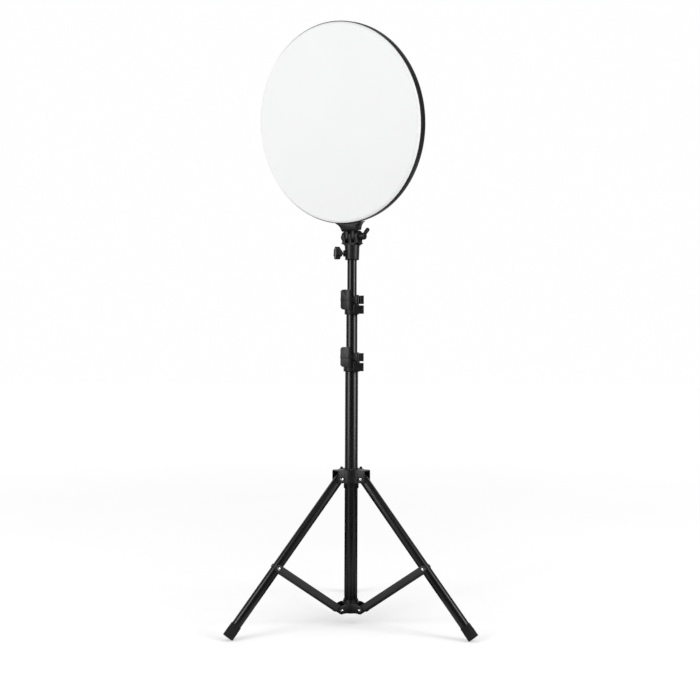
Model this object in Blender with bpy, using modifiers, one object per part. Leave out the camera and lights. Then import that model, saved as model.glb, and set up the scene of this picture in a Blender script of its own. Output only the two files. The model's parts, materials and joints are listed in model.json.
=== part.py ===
"""A round LED studio light on a folding three-legged stand, in metres, +Z up.

The origin is on the column's axis, at the flat underside of the column's foot plug. The camera side is -Y.
Every piece is its own object. Empties carry the pieces that share a joint's axis or a leg's direction.
"""

import math

import bmesh
import bpy
from mathutils import Matrix, Vector

MM = 0.001
OBJECT_NAME = "led_studio_light"

# Clearances, overlaps of joined shapes, and broken edges from the finest to the roundest
FIT = 0.3 * MM
SLIDE_FIT = 0.5 * MM
OVERLAP = 1.0 * MM
THROUGH = 4.0 * MM
RIM_BREAK = 0.3 * MM
FINE_EDGE = 0.5 * MM
THIN_EDGE = 0.6 * MM
SOFT_EDGE = 0.8 * MM
ROUND_EDGE = 1.2 * MM
MERGE = 0.01 * MM
DOME_ANGLES = (1.2, 0.8, 0.4)
EMPTY_SIZE = 10.0 * MM

# Facets of round pieces
ROUND = 20
SMALL_ROUND = 12
PIN_ROUND = 8
LEG_ROUND = 16
DISC_ROUND = 64

# Telescopic tubes
COLUMN_R = 11.0 * MM
COLUMN_WALL = 1.0 * MM
COLUMN_BOTTOM = 2.5 * MM
COLUMN_TOP = 420.0 * MM
MID_R = 9.5 * MM
MID_WALL = 0.8 * MM
MID_BOTTOM = 75.0 * MM
MID_TOP = 516.0 * MM
TOP_R = 8.0 * MM
TOP_WALL = 0.8 * MM
TOP_BOTTOM = 148.0 * MM
TOP_TOP = 600.0 * MM
GUIDE_FLANGE = 8.0 * MM
GUIDE_STUB = 14.0 * MM
GUIDE_BORE_R = 3.5 * MM
PLUG_FLANGE = 2.2 * MM
PLUG_RECESS = 0.6 * MM
PLUG_STUB = 12.0 * MM
PLUG_LEAD = 1.0 * MM

# Legs and braces: the fold's geometry in the plane of a leg
LEG_DIRECTIONS = {"left": 210.0, "right": 330.0, "rear": 90.0}
LEG_R = 8.0 * MM
LEG_WALL = 0.9 * MM
LEG_ANGLE = math.radians(40.0)
LEG_LENGTH = 311.0 * MM
LEG_HEEL = 5.0 * MM
PIVOT_OUT = 12.5 * MM
CROWN_PIVOT_Z = 226.0 * MM
HUB_PIVOT_Z = 8.1 * MM
BRACE_ALONG_LEG = 178.9 * MM
RIVET_R = 1.9 * MM
RIVET_HEAD_R = 2.8 * MM
RIVET_HEAD_H = 1.5 * MM

# Rubber feet
FOOT_LENGTH = 23.0 * MM
FOOT_R = 9.2 * MM
FOOT_FLOOR = 4.0 * MM
FOOT_RINGS = 3
FOOT_RING_PITCH = 2.6 * MM
FOOT_RING_DEPTH = 0.5 * MM
FOOT_FLAT_DEPTH = 0.5 * MM

# Brace channel
BRACE_WALL = 1.2 * MM
BRACE_HALF_HEIGHT = 6.2 * MM
BRACE_WEB_CUT_LEG = 28.0 * MM
BRACE_WEB_CUT_HUB = 9.0 * MM

# Lower hub
HUB_RING_WALL = 3.2 * MM
HUB_TOP = 19.0 * MM
HUB_UNDERSIDE = 1.6 * MM
HUB_LOBE_R = 6.4 * MM
HUB_CHEEK = 2.4 * MM
HUB_SLEEVE_TOP = 23.0 * MM
HUB_SLEEVE_WALL = 1.3 * MM

# Crown
CROWN_BOTTOM = 219.1 * MM
CROWN_HEADROOM = 4.4 * MM
CROWN_LIP = 7.5 * MM
CROWN_ROUND = 2.5 * MM
CROWN_ROOF = 1.9 * MM
CROWN_CHEEK = 1.8 * MM
CROWN_BODY_WALL = 10.2 * MM
CROWN_COLLAR_WALL = 2.7 * MM
CROWN_COLLAR_RISE = 1.5 * MM
CROWN_SLEEVE_BOTTOM = 209.4 * MM
CROWN_SLEEVE_WALL = 1.3 * MM
CROWN_SCREW_INSET = 2.7 * MM
CROWN_SCREW_HEAD_R = 2.6 * MM
CROWN_SCREW_HEAD_H = 3.0 * MM
CROWN_SCREW_R = 1.5 * MM
CROWN_SCREW_DEPTH = 9.0 * MM

# Flip locks: sizes shared by both, and the height of each one's underside
LOCK_HEIGHT = 41.2 * MM
LOCK_WALL = 2.5 * MM
LOCK_PIN_OUT = 2.7 * MM
LOCK_PIN_DIRECTION = -52.0
LOCK_PIN_R = 1.5 * MM
LOCK_PIN_HEAD_R = 2.5 * MM
LOCK_PIN_HEAD_H = 0.9 * MM
LOCK_LUG_R = 3.7 * MM
LOCK_EAR_LOW = (0.8 * MM, 14.7 * MM)
LOCK_EAR_HIGH = (17.3 * MM, 31.1 * MM)
LOCK_EAR_START = 2.0 * MM
LOCK_EAR_END = 20.0 * MM
LOCK_EAR_ROUND = 1.6 * MM
LOCK_EAR_STEM = 3.4 * MM
LOCK_EAR_ROOT = 0.75
LOCK_BAND_STARTS = -56.0
LOCK_BAND_LEAVES = -122.0
LOCK_BAND_RETURNS = -141.0
LOCK_PAD_X = (-19.0 * MM, -1.0 * MM)
LOCK_PAD_BOTTOM = 7.5 * MM
LOCK_TIP_Y = (-11.6 * MM, -9.0 * MM)
LOCK_TIP_BULGE = 0.3 * MM
LOCK_PAD_ROUND = 3.0 * MM
LOCK_PAD_ROUND_TIP = 7.0 * MM
LOCK_PAD_ROUND_HEEL = 2.0 * MM
LOCK_RIB_Z = 24.8 * MM
LOCK_ARM_HALF = 3.2 * MM
LOCK_ARM_ROUND = 1.5 * MM
LOCK_LEVER_WALL = 2.8 * MM
LOCK_LEVER_GAP = 0.7 * MM
LOCK_RIB_PROUD = 1.5 * MM
LOCK_RIB_HALF = 2.0 * MM
LOCK_COLLAR_STEP = 19.0 * MM
LOCK_COLLAR_TOP = 28.0 * MM
LOCK_SLIT = 2.0 * MM
LOWER_LOCK_Z = 405.2 * MM
UPPER_LOCK_Z = 501.2 * MM
LINER_WALL = 1.2 * MM

# Top spigot and the tilting base on it
SPIGOT_STEP = 0.4 * MM
SPIGOT_TOP = 612.0 * MM
SOCKET_BOTTOM = 592.9 * MM
SOCKET_TOP = 616.4 * MM
SOCKET_WALL = 3.5 * MM
SOCKET_DRAFT = 0.8 * MM
SOCKET_ROOF = 3.4 * MM
SOCKET_YAW = math.radians(-35.7)
CLAMP_Z = 603.6 * MM
CLAMP_YAW = math.radians(15.0)
CLAMP_BOSS_R = 5.4 * MM
CLAMP_BOSS_PROUD = 3.2 * MM
CLAMP_SCREW_R = 2.4 * MM
KNOB_GAP = 3.0 * MM
KNOB_NECK_LENGTH = 3.5 * MM
KNOB_LENGTH = 8.5 * MM
KNOB_FLOOR = 3.0 * MM
KNOB_R = 10.2 * MM
KNOB_LOBE = 0.8 * MM
KNOB_LOBES = 7
KNOB_NECK_R = 5.2 * MM
KNOB_NECK_FLARE = 2.5 * MM
KNOB_EDGE = 1.0 * MM

# Tilt hinge
HINGE_Z = 631.6 * MM
HEAD_TILT = math.radians(11.2)
TINE_R = 10.0 * MM
TINE_ROOT_HALF = 7.5 * MM
TINE_WAIST = 0.6
TINE_GAP = 0.4 * MM
BASE_TINE = 6.0 * MM
NECK_TINE = 6.0 * MM
BASE_FLOOR = 10.5 * MM
YOKE_FOOT_HALF = 9.5 * MM
BOLT_R = 3.0 * MM
BOLT_HEAD_R = 5.2 * MM
BOLT_HEAD_H = 4.2 * MM
WING_HUB_R = 6.0 * MM
WING_HUB_LENGTH = 10.5 * MM
WING_REACH = 13.5 * MM
WING_THICK = 4.0 * MM
WING_WIDTH = 7.0 * MM
WING_EDGE = 1.0 * MM
WING_ROOT = 0.55
WING_LEAN_OUT = math.radians(24.0)
WING_LEAN_BACK = math.radians(-28.0)

# Neck
NECK_TOP_WIDTH = 52.0 * MM
NECK_WAIST_WIDTH = 29.0 * MM
NECK_FLARE_TURN = math.radians(70.0)
NECK_DEPTH = 19.0 * MM
NECK_FOOT_DEPTH = 15.0 * MM
NECK_CHAMFER_Z = 14.0 * MM
NECK_TONGUE_WIDTH = 34.0 * MM
NECK_TONGUE_IN = 16.0 * MM

# Light head: depths run from the hinge's plane towards the face, and _IN is an inset from the rim
DISC_R = 163.0 * MM
DISC_BELOW = 23.4 * MM
HOUSING_FRONT = 8.8 * MM
HOUSING_BACK = -7.2 * MM
HOUSING_WALL = 2.0 * MM
HOUSING_ROUND = 6.0 * MM
BACK_STEP_IN = 48.0 * MM
BACK_STEP = 1.6 * MM
DIFFUSER_IN = 1.5 * MM
DIFFUSER_PROUD = 5.0 * MM
DIFFUSER_ROUND = 6.0 * MM
DIFFUSER_WALL = 1.6 * MM
DIFFUSER_SKIRT = 4.5 * MM
BOARD_IN = 8.0 * MM
BOARD_BACK = 1.4 * MM
BOARD_THICK = 1.6 * MM
CHIP_SIZE = 5.0 * MM
CHIP_H = 0.8 * MM
CHIP_RINGS = ((88.0 * MM, 10), (28.0 * MM, 18))
BOSS_R = 3.2 * MM
BOSS_IN = 38.0 * MM
BOSS_COUNT = 6
VENT_COUNT = 12
VENT_IN = 82.0 * MM
VENT_LENGTH = 16.0 * MM
VENT_WIDTH = 3.0 * MM

# Controls on the back, below the disc's centre
CONTROL_IN = 30.0 * MM
CONTROL_PITCH = 15.0 * MM
BUTTON_R = 4.4 * MM
BUTTON_FLANGE_R = 5.6 * MM
BUTTON_FLANGE = 1.2 * MM
BUTTON_PROUD = 1.2 * MM
INLET_X = 32.0 * MM
INLET_R = 5.0 * MM
INLET_BORE_R = 3.2 * MM
INLET_PIN_R = 1.0 * MM
INLET_FLANGE_R = 7.0 * MM
INLET_DEPTH = 6.6 * MM
INLET_PROUD = 0.4 * MM
INLET_FLOOR = 1.2 * MM
INLET_PIN_IN = 1.0 * MM
DRIVER_WIDTH = 50.0 * MM
DRIVER_HEIGHT = 24.0 * MM
DRIVER_THICK = 1.6 * MM
DRIVER_BACK = -3.0 * MM
DRIVER_POST_IN = 3.0 * MM
DRIVER_POST_R = 1.8 * MM
DRIVER_PART_X = 14.0 * MM
DRIVER_COIL = (12.0 * MM, 10.0 * MM, 2.0 * MM)
DRIVER_CHIP = (8.0 * MM, 8.0 * MM, 1.0 * MM)
NECK_SCREW_X = 10.0 * MM
NECK_SCREW_IN = 11.0 * MM
NECK_SCREW_R = 1.5 * MM
NECK_SCREW_HEAD_R = 3.0 * MM
NECK_SCREW_HEAD_H = 1.6 * MM
NECK_SCREW_LENGTH = 5.4 * MM

# Sizes that follow from the ones above
PIVOT_RADIUS = COLUMN_R + PIVOT_OUT
COLUMN_BORE = COLUMN_R + FIT
HUB_RING_R = COLUMN_BORE + HUB_RING_WALL
HUB_SLEEVE_R = COLUMN_BORE + HUB_SLEEVE_WALL
HEEL_RISE = LEG_HEEL * math.cos(LEG_ANGLE) + LEG_R * math.sin(LEG_ANGLE)
CROWN_TOP = CROWN_PIVOT_Z + HEEL_RISE + CROWN_HEADROOM + CROWN_ROOF
CROWN_BODY_R = COLUMN_BORE + CROWN_BODY_WALL
CROWN_COLLAR_R = COLUMN_BORE + CROWN_COLLAR_WALL
CROWN_COLLAR_TOP = CROWN_TOP + CROWN_COLLAR_RISE
CROWN_SLEEVE_R = COLUMN_BORE + CROWN_SLEEVE_WALL
CROWN_REACH = PIVOT_RADIUS + CROWN_LIP
LOWER_LOCK_R = COLUMN_BORE + LOCK_WALL
UPPER_LOCK_R = MID_R + FIT + LOCK_WALL
SPIGOT_R = TOP_R - SPIGOT_STEP
SOCKET_R_BOTTOM = TOP_R + FIT + SOCKET_WALL
SOCKET_R_TOP = SOCKET_R_BOTTOM + SOCKET_DRAFT
CLAMP_BOSS_END = SOCKET_R_BOTTOM + CLAMP_BOSS_PROUD
KNOB_START = CLAMP_BOSS_END + KNOB_GAP
KNOB_SHOULDER = KNOB_START + KNOB_NECK_LENGTH
KNOB_END = KNOB_SHOULDER + KNOB_LENGTH
CLAMP_TURN = (0.0, -math.pi / 2, CLAMP_YAW)
BACK_STEP_R = DISC_R - BACK_STEP_IN
DIFFUSER_R = DISC_R - DIFFUSER_IN
BOARD_R = DISC_R - BOARD_IN
CONTROL_Y = CONTROL_IN - DISC_R
DISC_CENTRE_Z = DISC_BELOW + DISC_R
LEG_END = LEG_LENGTH - FOOT_FLOOR - FIT
CHANNEL_INNER = LEG_R + FIT
CHANNEL_OUTER = CHANNEL_INNER + BRACE_WALL
HUB_SLOT = CHANNEL_OUTER + FIT
HUB_OUTER = HUB_SLOT + HUB_CHEEK
CROWN_SLOT = LEG_R + SLIDE_FIT
CROWN_OUTER = CROWN_SLOT + CROWN_CHEEK
BRACE_RUN = BRACE_ALONG_LEG * math.sin(LEG_ANGLE)
BRACE_RISE = CROWN_PIVOT_Z - BRACE_ALONG_LEG * math.cos(LEG_ANGLE) - HUB_PIVOT_Z
BRACE_LENGTH = math.hypot(BRACE_RUN, BRACE_RISE)
BRACE_ANGLE = math.atan2(BRACE_RISE, BRACE_RUN)
STACK_HALF = BASE_TINE * 1.5 + NECK_TINE + TINE_GAP * 2
UP_FACING = (math.pi / 2, 0.0, 0.0)
SIDE_FACING = (math.pi / 2, 0.0, math.pi / 2)
ORIGIN = (0.0, 0.0, 0.0)


def clear_scene():
    for obj in list(bpy.data.objects):
        bpy.data.objects.remove(obj)


def new_collection(name):
    made = bpy.data.collections.new(name)
    bpy.context.scene.collection.children.link(made)
    return made


def new_material(name, colour, roughness, metallic=0.0):
    made = bpy.data.materials.new(name)
    made.use_nodes = True
    shader = made.node_tree.nodes["Principled BSDF"]
    shader.inputs["Base Color"].default_value = (*colour, 1.0)
    shader.inputs["Roughness"].default_value = roughness
    shader.inputs["Metallic"].default_value = metallic
    return made


def empty(name, at=ORIGIN, turn=ORIGIN, parent=None):
    made = bpy.data.objects.new(name, None)
    made.empty_display_size = EMPTY_SIZE
    made.location = at
    made.rotation_euler = turn
    made.parent = parent
    PARTS.objects.link(made)
    return made


def add(name, mesh, at, turn, parent):
    made = bpy.data.objects.new(name, mesh)
    made.location = at
    made.rotation_euler = turn
    made.parent = parent
    PARTS.objects.link(made)
    return made


def box(name, low, high, at=ORIGIN, turn=ORIGIN, parent=None):
    """A box between two corners of its own frame."""
    size = [b - a for a, b in zip(low, high)]
    middle = [(a + b) / 2 for a, b in zip(low, high)]
    bm = bmesh.new()
    matrix = Matrix.Translation(middle) @ Matrix.Diagonal((*size, 1.0))
    bmesh.ops.create_cube(bm, size=1.0, matrix=matrix)
    mesh = bpy.data.meshes.new(name)
    bm.to_mesh(mesh)
    bm.free()
    return add(name, mesh, at, turn, parent)


def rod(name, radius, low, high, at=ORIGIN, turn=ORIGIN, parent=None, sides=SMALL_ROUND, tip=None):
    """A cylinder along its own Z, from low to high, or a cone if its tip has another radius."""
    bm = bmesh.new()
    bmesh.ops.create_cone(
        bm,
        cap_ends=True,
        segments=sides,
        radius1=radius,
        radius2=radius if tip is None else tip,
        depth=high - low,
        matrix=Matrix.Translation((0.0, 0.0, (low + high) / 2)) @ Matrix.Rotation(math.pi / sides, 4, "Z"),
    )
    mesh = bpy.data.meshes.new(name)
    bm.to_mesh(mesh)
    bm.free()
    shade(mesh)
    return add(name, mesh, at, turn, parent)


def shade(mesh):
    mesh.shade_smooth()
    mesh.set_sharp_from_angle(angle=math.radians(35.0))


def turned(name, profile, at=ORIGIN, turn=ORIGIN, parent=None, steps=ROUND, hollow=False):
    """A revolved solid about its own Z. The profile holds (radius, z), from the top down its outer side."""
    count = len(profile)
    edges = [(i, i + 1) for i in range(count - 1)]
    if hollow:
        edges.append((count - 1, 0))
    mesh = bpy.data.meshes.new(name)
    mesh.from_pydata([(radius, 0.0, z) for radius, z in profile], edges, [])
    made = add(name, mesh, at, turn, parent)
    screw = made.modifiers.new("turn", "SCREW")
    screw.angle = 2 * math.pi
    screw.steps = steps
    screw.render_steps = steps
    screw.use_merge_vertices = True
    screw.merge_threshold = MERGE
    return made


def pipe(name, outer, inner, low, high, at=ORIGIN, turn=ORIGIN, parent=None, steps=ROUND):
    """A tube about its own Z, with its upper rim broken a little."""
    edge = min(RIM_BREAK, (outer - inner) / 3)
    profile = [(outer - edge, high), (outer, high - edge), (outer, low), (inner, low), (inner, high)]
    return turned(name, profile, at, turn, parent, steps, hollow=True)


def arc(centre, radius, start, end, steps):
    """Points of an arc, in degrees, both ends included."""
    angles = [math.radians(start + (end - start) * i / steps) for i in range(steps + 1)]
    return [(centre[0] + radius * math.cos(a), centre[1] + radius * math.sin(a)) for a in angles]


def rounded(corners, steps=3):
    """An outline with an arc at each corner given as (x, y, radius)."""
    outline = []
    for index, (x, y, radius) in enumerate(corners):
        if radius == 0:
            outline.append((x, y))
            continue
        corner = Vector((x, y))
        before = (Vector(corners[index - 1][:2]) - corner).normalized()
        after = (Vector(corners[(index + 1) % len(corners)][:2]) - corner).normalized()
        half = before.angle(after) / 2
        centre = corner + (before + after).normalized() * radius / math.sin(half)
        first = corner + before * radius / math.tan(half) - centre
        last = corner + after * radius / math.tan(half) - centre
        start = math.atan2(first.y, first.x)
        sweep = math.atan2(first.cross(last), first.dot(last))
        outline += arc(centre, radius, math.degrees(start), math.degrees(start + sweep), steps)
    return outline


def dome(radius, seat, rise):
    """Half the outline of a domed head on a seat, from its middle to its rim."""
    shoulder = [(radius * math.cos(a), seat + rise * math.sin(a)) for a in DOME_ANGLES]
    return [(0.0, seat + rise), *shoulder, (radius, seat)]


def capsule(start, end, radius, steps=6):
    """The outline round two circles of one radius."""
    along = math.degrees(math.atan2(end[1] - start[1], end[0] - start[0]))
    far = arc(end, radius, along - 90, along + 90, steps)
    return far + arc(start, radius, along + 90, along + 270, steps)


def plate(name, outline, thickness, at=ORIGIN, turn=ORIGIN, parent=None, offset=0.0):
    """A flat outline in its own XY plane, extruded both ways to its thickness, as a mesh."""
    curve = bpy.data.curves.new(name, "CURVE")
    curve.dimensions = "2D"
    curve.fill_mode = "BOTH"
    curve.extrude = thickness / 2
    spline = curve.splines.new("POLY")
    spline.points.add(len(outline) - 1)
    for point, (x, y) in zip(spline.points, outline):
        point.co = (x, y, 0.0, 1.0)
    spline.use_cyclic_u = True
    flat = bpy.data.objects.new(name + " outline", curve)
    PARTS.objects.link(flat)
    bpy.context.view_layer.update()
    graph = bpy.context.evaluated_depsgraph_get()
    mesh = bpy.data.meshes.new_from_object(flat.evaluated_get(graph))
    bpy.data.objects.remove(flat)
    bpy.data.curves.remove(curve)
    bm = bmesh.new()
    bm.from_mesh(mesh)
    bmesh.ops.remove_doubles(bm, verts=bm.verts, dist=MERGE / 2)
    bmesh.ops.translate(bm, verts=bm.verts, vec=(0.0, 0.0, offset))
    bmesh.ops.recalc_face_normals(bm, faces=bm.faces)
    bm.to_mesh(mesh)
    bm.free()
    mesh.name = name
    shade(mesh)
    return add(name, mesh, at, turn, parent)


def bevel(obj, width, segments=2, angle=40.0):
    made = obj.modifiers.new("rounded edges", "BEVEL")
    made.width = width
    made.segments = segments
    made.limit_method = "ANGLE"
    made.angle_limit = math.radians(angle)
    return obj


def combine(target, other, operation):
    """A live Boolean. The other shape moves to the cutters."""
    made = target.modifiers.new(other.name, "BOOLEAN")
    made.operation = operation
    made.object = other
    if other.name in PARTS.objects:
        PARTS.objects.unlink(other)
        CUTTERS.objects.link(other)
    other.hide_render = True
    other.display_type = "WIRE"
    return target


def cut(target, other):
    return combine(target, other, "DIFFERENCE")


def join(target, other):
    return combine(target, other, "UNION")


def common(target, other):
    return combine(target, other, "INTERSECT")


def dress(obj, material):
    obj.data.materials.clear()
    obj.data.materials.append(material)
    return obj


def column():
    """The outer tube, fixed in the lower hub, and the plug that closes its foot."""
    tube = pipe("column_tube", COLUMN_R, COLUMN_R - COLUMN_WALL, COLUMN_BOTTOM, COLUMN_TOP)
    dress(tube, TUBE_BLACK)
    stub = COLUMN_R - COLUMN_WALL - FIT
    top = PLUG_FLANGE + PLUG_STUB
    rim = COLUMN_R - PLUG_RECESS
    edge = PLUG_LEAD / 2
    profile = [(0.0, top), (stub - PLUG_LEAD, top), (stub, top - PLUG_LEAD), (stub, PLUG_FLANGE)]
    profile += [(rim, PLUG_FLANGE), (rim, edge), (rim - edge, 0.0), (0.0, 0.0)]
    dress(turned("column_foot_plug", profile), PLASTIC)


def guide(name, tube_bore, guide_radius, bottom):
    """A slide guide: a flange that runs in the tube outside, and a stub in the tube that it carries."""
    stub = tube_bore - FIT
    top = bottom - FIT
    profile = [(stub, top + GUIDE_STUB), (stub, top), (guide_radius, top), (guide_radius, top - GUIDE_FLANGE)]
    profile += [(GUIDE_BORE_R, top - GUIDE_FLANGE), (GUIDE_BORE_R, top + GUIDE_STUB)]
    dress(turned(name, profile, hollow=True), NYLON)


def slides():
    """The two inner tubes with their guides."""
    mid_bore = MID_R - MID_WALL
    dress(pipe("mid_tube", MID_R, mid_bore, MID_BOTTOM, MID_TOP), TUBE_BLACK)
    dress(pipe("top_tube", TOP_R, TOP_R - TOP_WALL, TOP_BOTTOM, TOP_TOP), TUBE_BLACK)
    guide("mid_tube_guide", mid_bore, COLUMN_R - COLUMN_WALL - FIT, MID_BOTTOM)
    guide("top_tube_guide", TOP_R - TOP_WALL, mid_bore - FIT, TOP_BOTTOM)


def rivet(name, half_grip, at, parent):
    """A rivet along its parent's Y, with a domed head outside each cheek."""
    seat = half_grip + FIT
    upper = dome(RIVET_HEAD_R, seat, RIVET_HEAD_H) + [(RIVET_R, seat)]
    lower = [(radius, -z) for radius, z in reversed(upper)]
    made = turned(name, upper + lower, at, UP_FACING, parent, PIN_ROUND)
    return dress(made, RIVET_STEEL)


def rivet_hole(name, half_length, at, parent):
    """A cutter for a rivet's bore, along its parent's Y."""
    return rod(name, RIVET_R + FIT, -half_length, half_length, at, UP_FACING, parent, PIN_ROUND)


def lower_hub():
    """The fixed hub at the column's foot: a ring with three pairs of cheeks that hold the braces."""
    bore = COLUMN_BORE
    soft = SOFT_EDGE
    profile = [(bore + soft, HUB_SLEEVE_TOP), (HUB_SLEEVE_R, HUB_SLEEVE_TOP - soft), (HUB_RING_R, HUB_TOP)]
    profile += [(HUB_RING_R, HUB_UNDERSIDE + soft), (HUB_RING_R - soft, HUB_UNDERSIDE)]
    profile += [(bore, HUB_UNDERSIDE), (bore, HUB_SLEEVE_TOP)]
    hub = turned("lower_hub", profile, hollow=True)
    root = math.sqrt(HUB_RING_R**2 - HUB_OUTER**2) - OVERLAP
    outline = [(root, HUB_UNDERSIDE + soft), (root + OVERLAP, HUB_UNDERSIDE + soft)]
    outline += arc((PIVOT_RADIUS, HUB_PIVOT_Z), HUB_LOBE_R, -115, 80, 9)
    outline += [(HUB_RING_R - soft, HUB_TOP - soft), (root, HUB_TOP - soft)]
    for side, frame in LEG_FRAMES.items():
        for hand in (-1, 1):
            middle = (0.0, hand * (HUB_SLOT + HUB_CHEEK / 2), 0.0)
            join(hub, plate(f"hub cheek {side} {hand}", outline, HUB_CHEEK, middle, UP_FACING, frame))
        at = (PIVOT_RADIUS, 0.0, HUB_PIVOT_Z)
        cut(hub, rivet_hole(f"hub bore {side}", HUB_OUTER + THROUGH, at, frame))
        rivet(f"hub_rivet_{side}", HUB_OUTER, at, frame)
    dress(hub, PLASTIC)


def crown():
    """The sliding crown: three channels, open below, round one sleeve."""
    bore = COLUMN_BORE
    soft = SOFT_EDGE
    profile = [(CROWN_COLLAR_R - soft, CROWN_COLLAR_TOP), (CROWN_COLLAR_R, CROWN_COLLAR_TOP - soft)]
    profile += [(CROWN_COLLAR_R, CROWN_TOP), (CROWN_BODY_R - soft, CROWN_TOP)]
    profile += [(CROWN_BODY_R, CROWN_TOP - soft), (CROWN_BODY_R, CROWN_BOTTOM)]
    profile += [(CROWN_SLEEVE_R, CROWN_BOTTOM), (CROWN_SLEEVE_R, CROWN_SLEEVE_BOTTOM)]
    profile += [(bore, CROWN_SLEEVE_BOTTOM), (bore, CROWN_COLLAR_TOP)]
    body = turned("crown", profile, hollow=True)
    outline = rounded([
        (CROWN_SLEEVE_R, CROWN_BOTTOM + FIT, 0),
        (CROWN_REACH, CROWN_BOTTOM + FIT, 0),
        (CROWN_REACH, CROWN_TOP - FIT, CROWN_ROUND),
        (CROWN_SLEEVE_R, CROWN_TOP - FIT, 0),
    ])
    slot_low = (CROWN_SLEEVE_R - FIT, -CROWN_SLOT, CROWN_BOTTOM - THROUGH)
    slot_high = (CROWN_REACH + THROUGH, CROWN_SLOT, CROWN_TOP - CROWN_ROOF)
    for side, frame in LEG_FRAMES.items():
        channel = plate(f"crown channel {side}", outline, 2 * CROWN_OUTER, turn=UP_FACING, parent=frame)
        join(body, bevel(channel, soft, 1))
    for side, frame in LEG_FRAMES.items():
        cut(body, box(f"crown slot {side}", slot_low, slot_high, parent=frame))
        at = (PIVOT_RADIUS, 0.0, CROWN_PIVOT_Z)
        cut(body, rivet_hole(f"crown bore {side}", CROWN_OUTER + THROUGH, at, frame))
        rivet(f"crown_rivet_{side}", CROWN_OUTER, at, frame)
        crown_screw(body, side, frame)
    bore_top = CROWN_COLLAR_TOP + THROUGH
    cut(body, rod("crown column bore", bore, CROWN_SLEEVE_BOTTOM - THROUGH, bore_top, sides=ROUND))
    dress(body, PLASTIC)


def crown_screw(body, side, frame):
    """A dome-head screw in the crown's top, opposite a leg, and its blind hole."""
    shank_end = CROWN_TOP - CROWN_SCREW_DEPTH
    seat = CROWN_TOP + FIT
    at = (CROWN_SCREW_INSET - CROWN_BODY_R, 0.0, 0.0)
    profile = dome(CROWN_SCREW_HEAD_R, seat, CROWN_SCREW_HEAD_H)
    profile += [(CROWN_SCREW_R, seat), (CROWN_SCREW_R, shank_end), (0.0, shank_end)]
    dress(turned(f"crown_screw_{side}", profile, at, parent=frame, steps=PIN_ROUND), SCREW_BLACK)
    hole_r = CROWN_SCREW_R + FIT
    low = shank_end - FIT
    cut(body, rod(f"screw hole {side}", hole_r, low, seat + THROUGH, at, parent=frame, sides=PIN_ROUND))


def leg(side):
    """One leg tube, hung on the crown's rivet, with its rubber foot. Both run down their own -Z."""
    frame = LEG_FRAMES[side]
    pivot = empty(f"leg pivot {side}", (PIVOT_RADIUS, 0.0, CROWN_PIVOT_Z), (0.0, -LEG_ANGLE, 0.0), frame)
    tube = pipe(f"leg_{side}", LEG_R, LEG_R - LEG_WALL, -LEG_END, LEG_HEEL, parent=pivot, steps=LEG_ROUND)
    cut(tube, rivet_hole(f"leg bore {side}", LEG_R + THROUGH, ORIGIN, pivot))
    dress(tube, TUBE_BLACK)
    foot(side, pivot)


def foot(side, pivot):
    """A rubber cup on a leg's end, ringed near its mouth, with a small level flat where it stands."""
    bore = LEG_R + FIT
    mouth = FOOT_LENGTH - LEG_LENGTH
    floor = FOOT_FLOOR - LEG_LENGTH
    soft = ROUND_EDGE
    profile = [(0.0, floor), (bore, floor), (bore, mouth - RIM_BREAK), (bore + RIM_BREAK, mouth)]
    profile.append((FOOT_R - RIM_BREAK, mouth))
    for ring in range(FOOT_RINGS):
        top = mouth - FOOT_RING_PITCH * (ring + 0.4)
        half = FOOT_RING_PITCH / 3
        profile += [(FOOT_R, top), (FOOT_R - FOOT_RING_DEPTH, top - half), (FOOT_R, top - 2 * half)]
    profile += arc((FOOT_R - soft, soft - LEG_LENGTH), soft, 0, -90, 2)
    profile.append((0.0, -LEG_LENGTH))
    cup = turned(f"foot_{side}", profile, parent=pivot, steps=LEG_ROUND)
    slope_cos = math.cos(LEG_ANGLE)
    slope_sin = math.sin(LEG_ANGLE)
    lowest = CROWN_PIVOT_Z - (LEG_LENGTH - soft) * slope_cos - (FOOT_R - soft) * slope_sin - soft
    reach = PIVOT_RADIUS + LEG_LENGTH * slope_sin
    low = (reach - 4 * FOOT_R, -2 * FOOT_R, lowest - THROUGH)
    high = (reach + 2 * FOOT_R, 2 * FOOT_R, lowest + FOOT_FLAT_DEPTH)
    cut(cup, box(f"foot level {side}", low, high, parent=LEG_FRAMES[side]))
    dress(cup, RUBBER)


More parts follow.
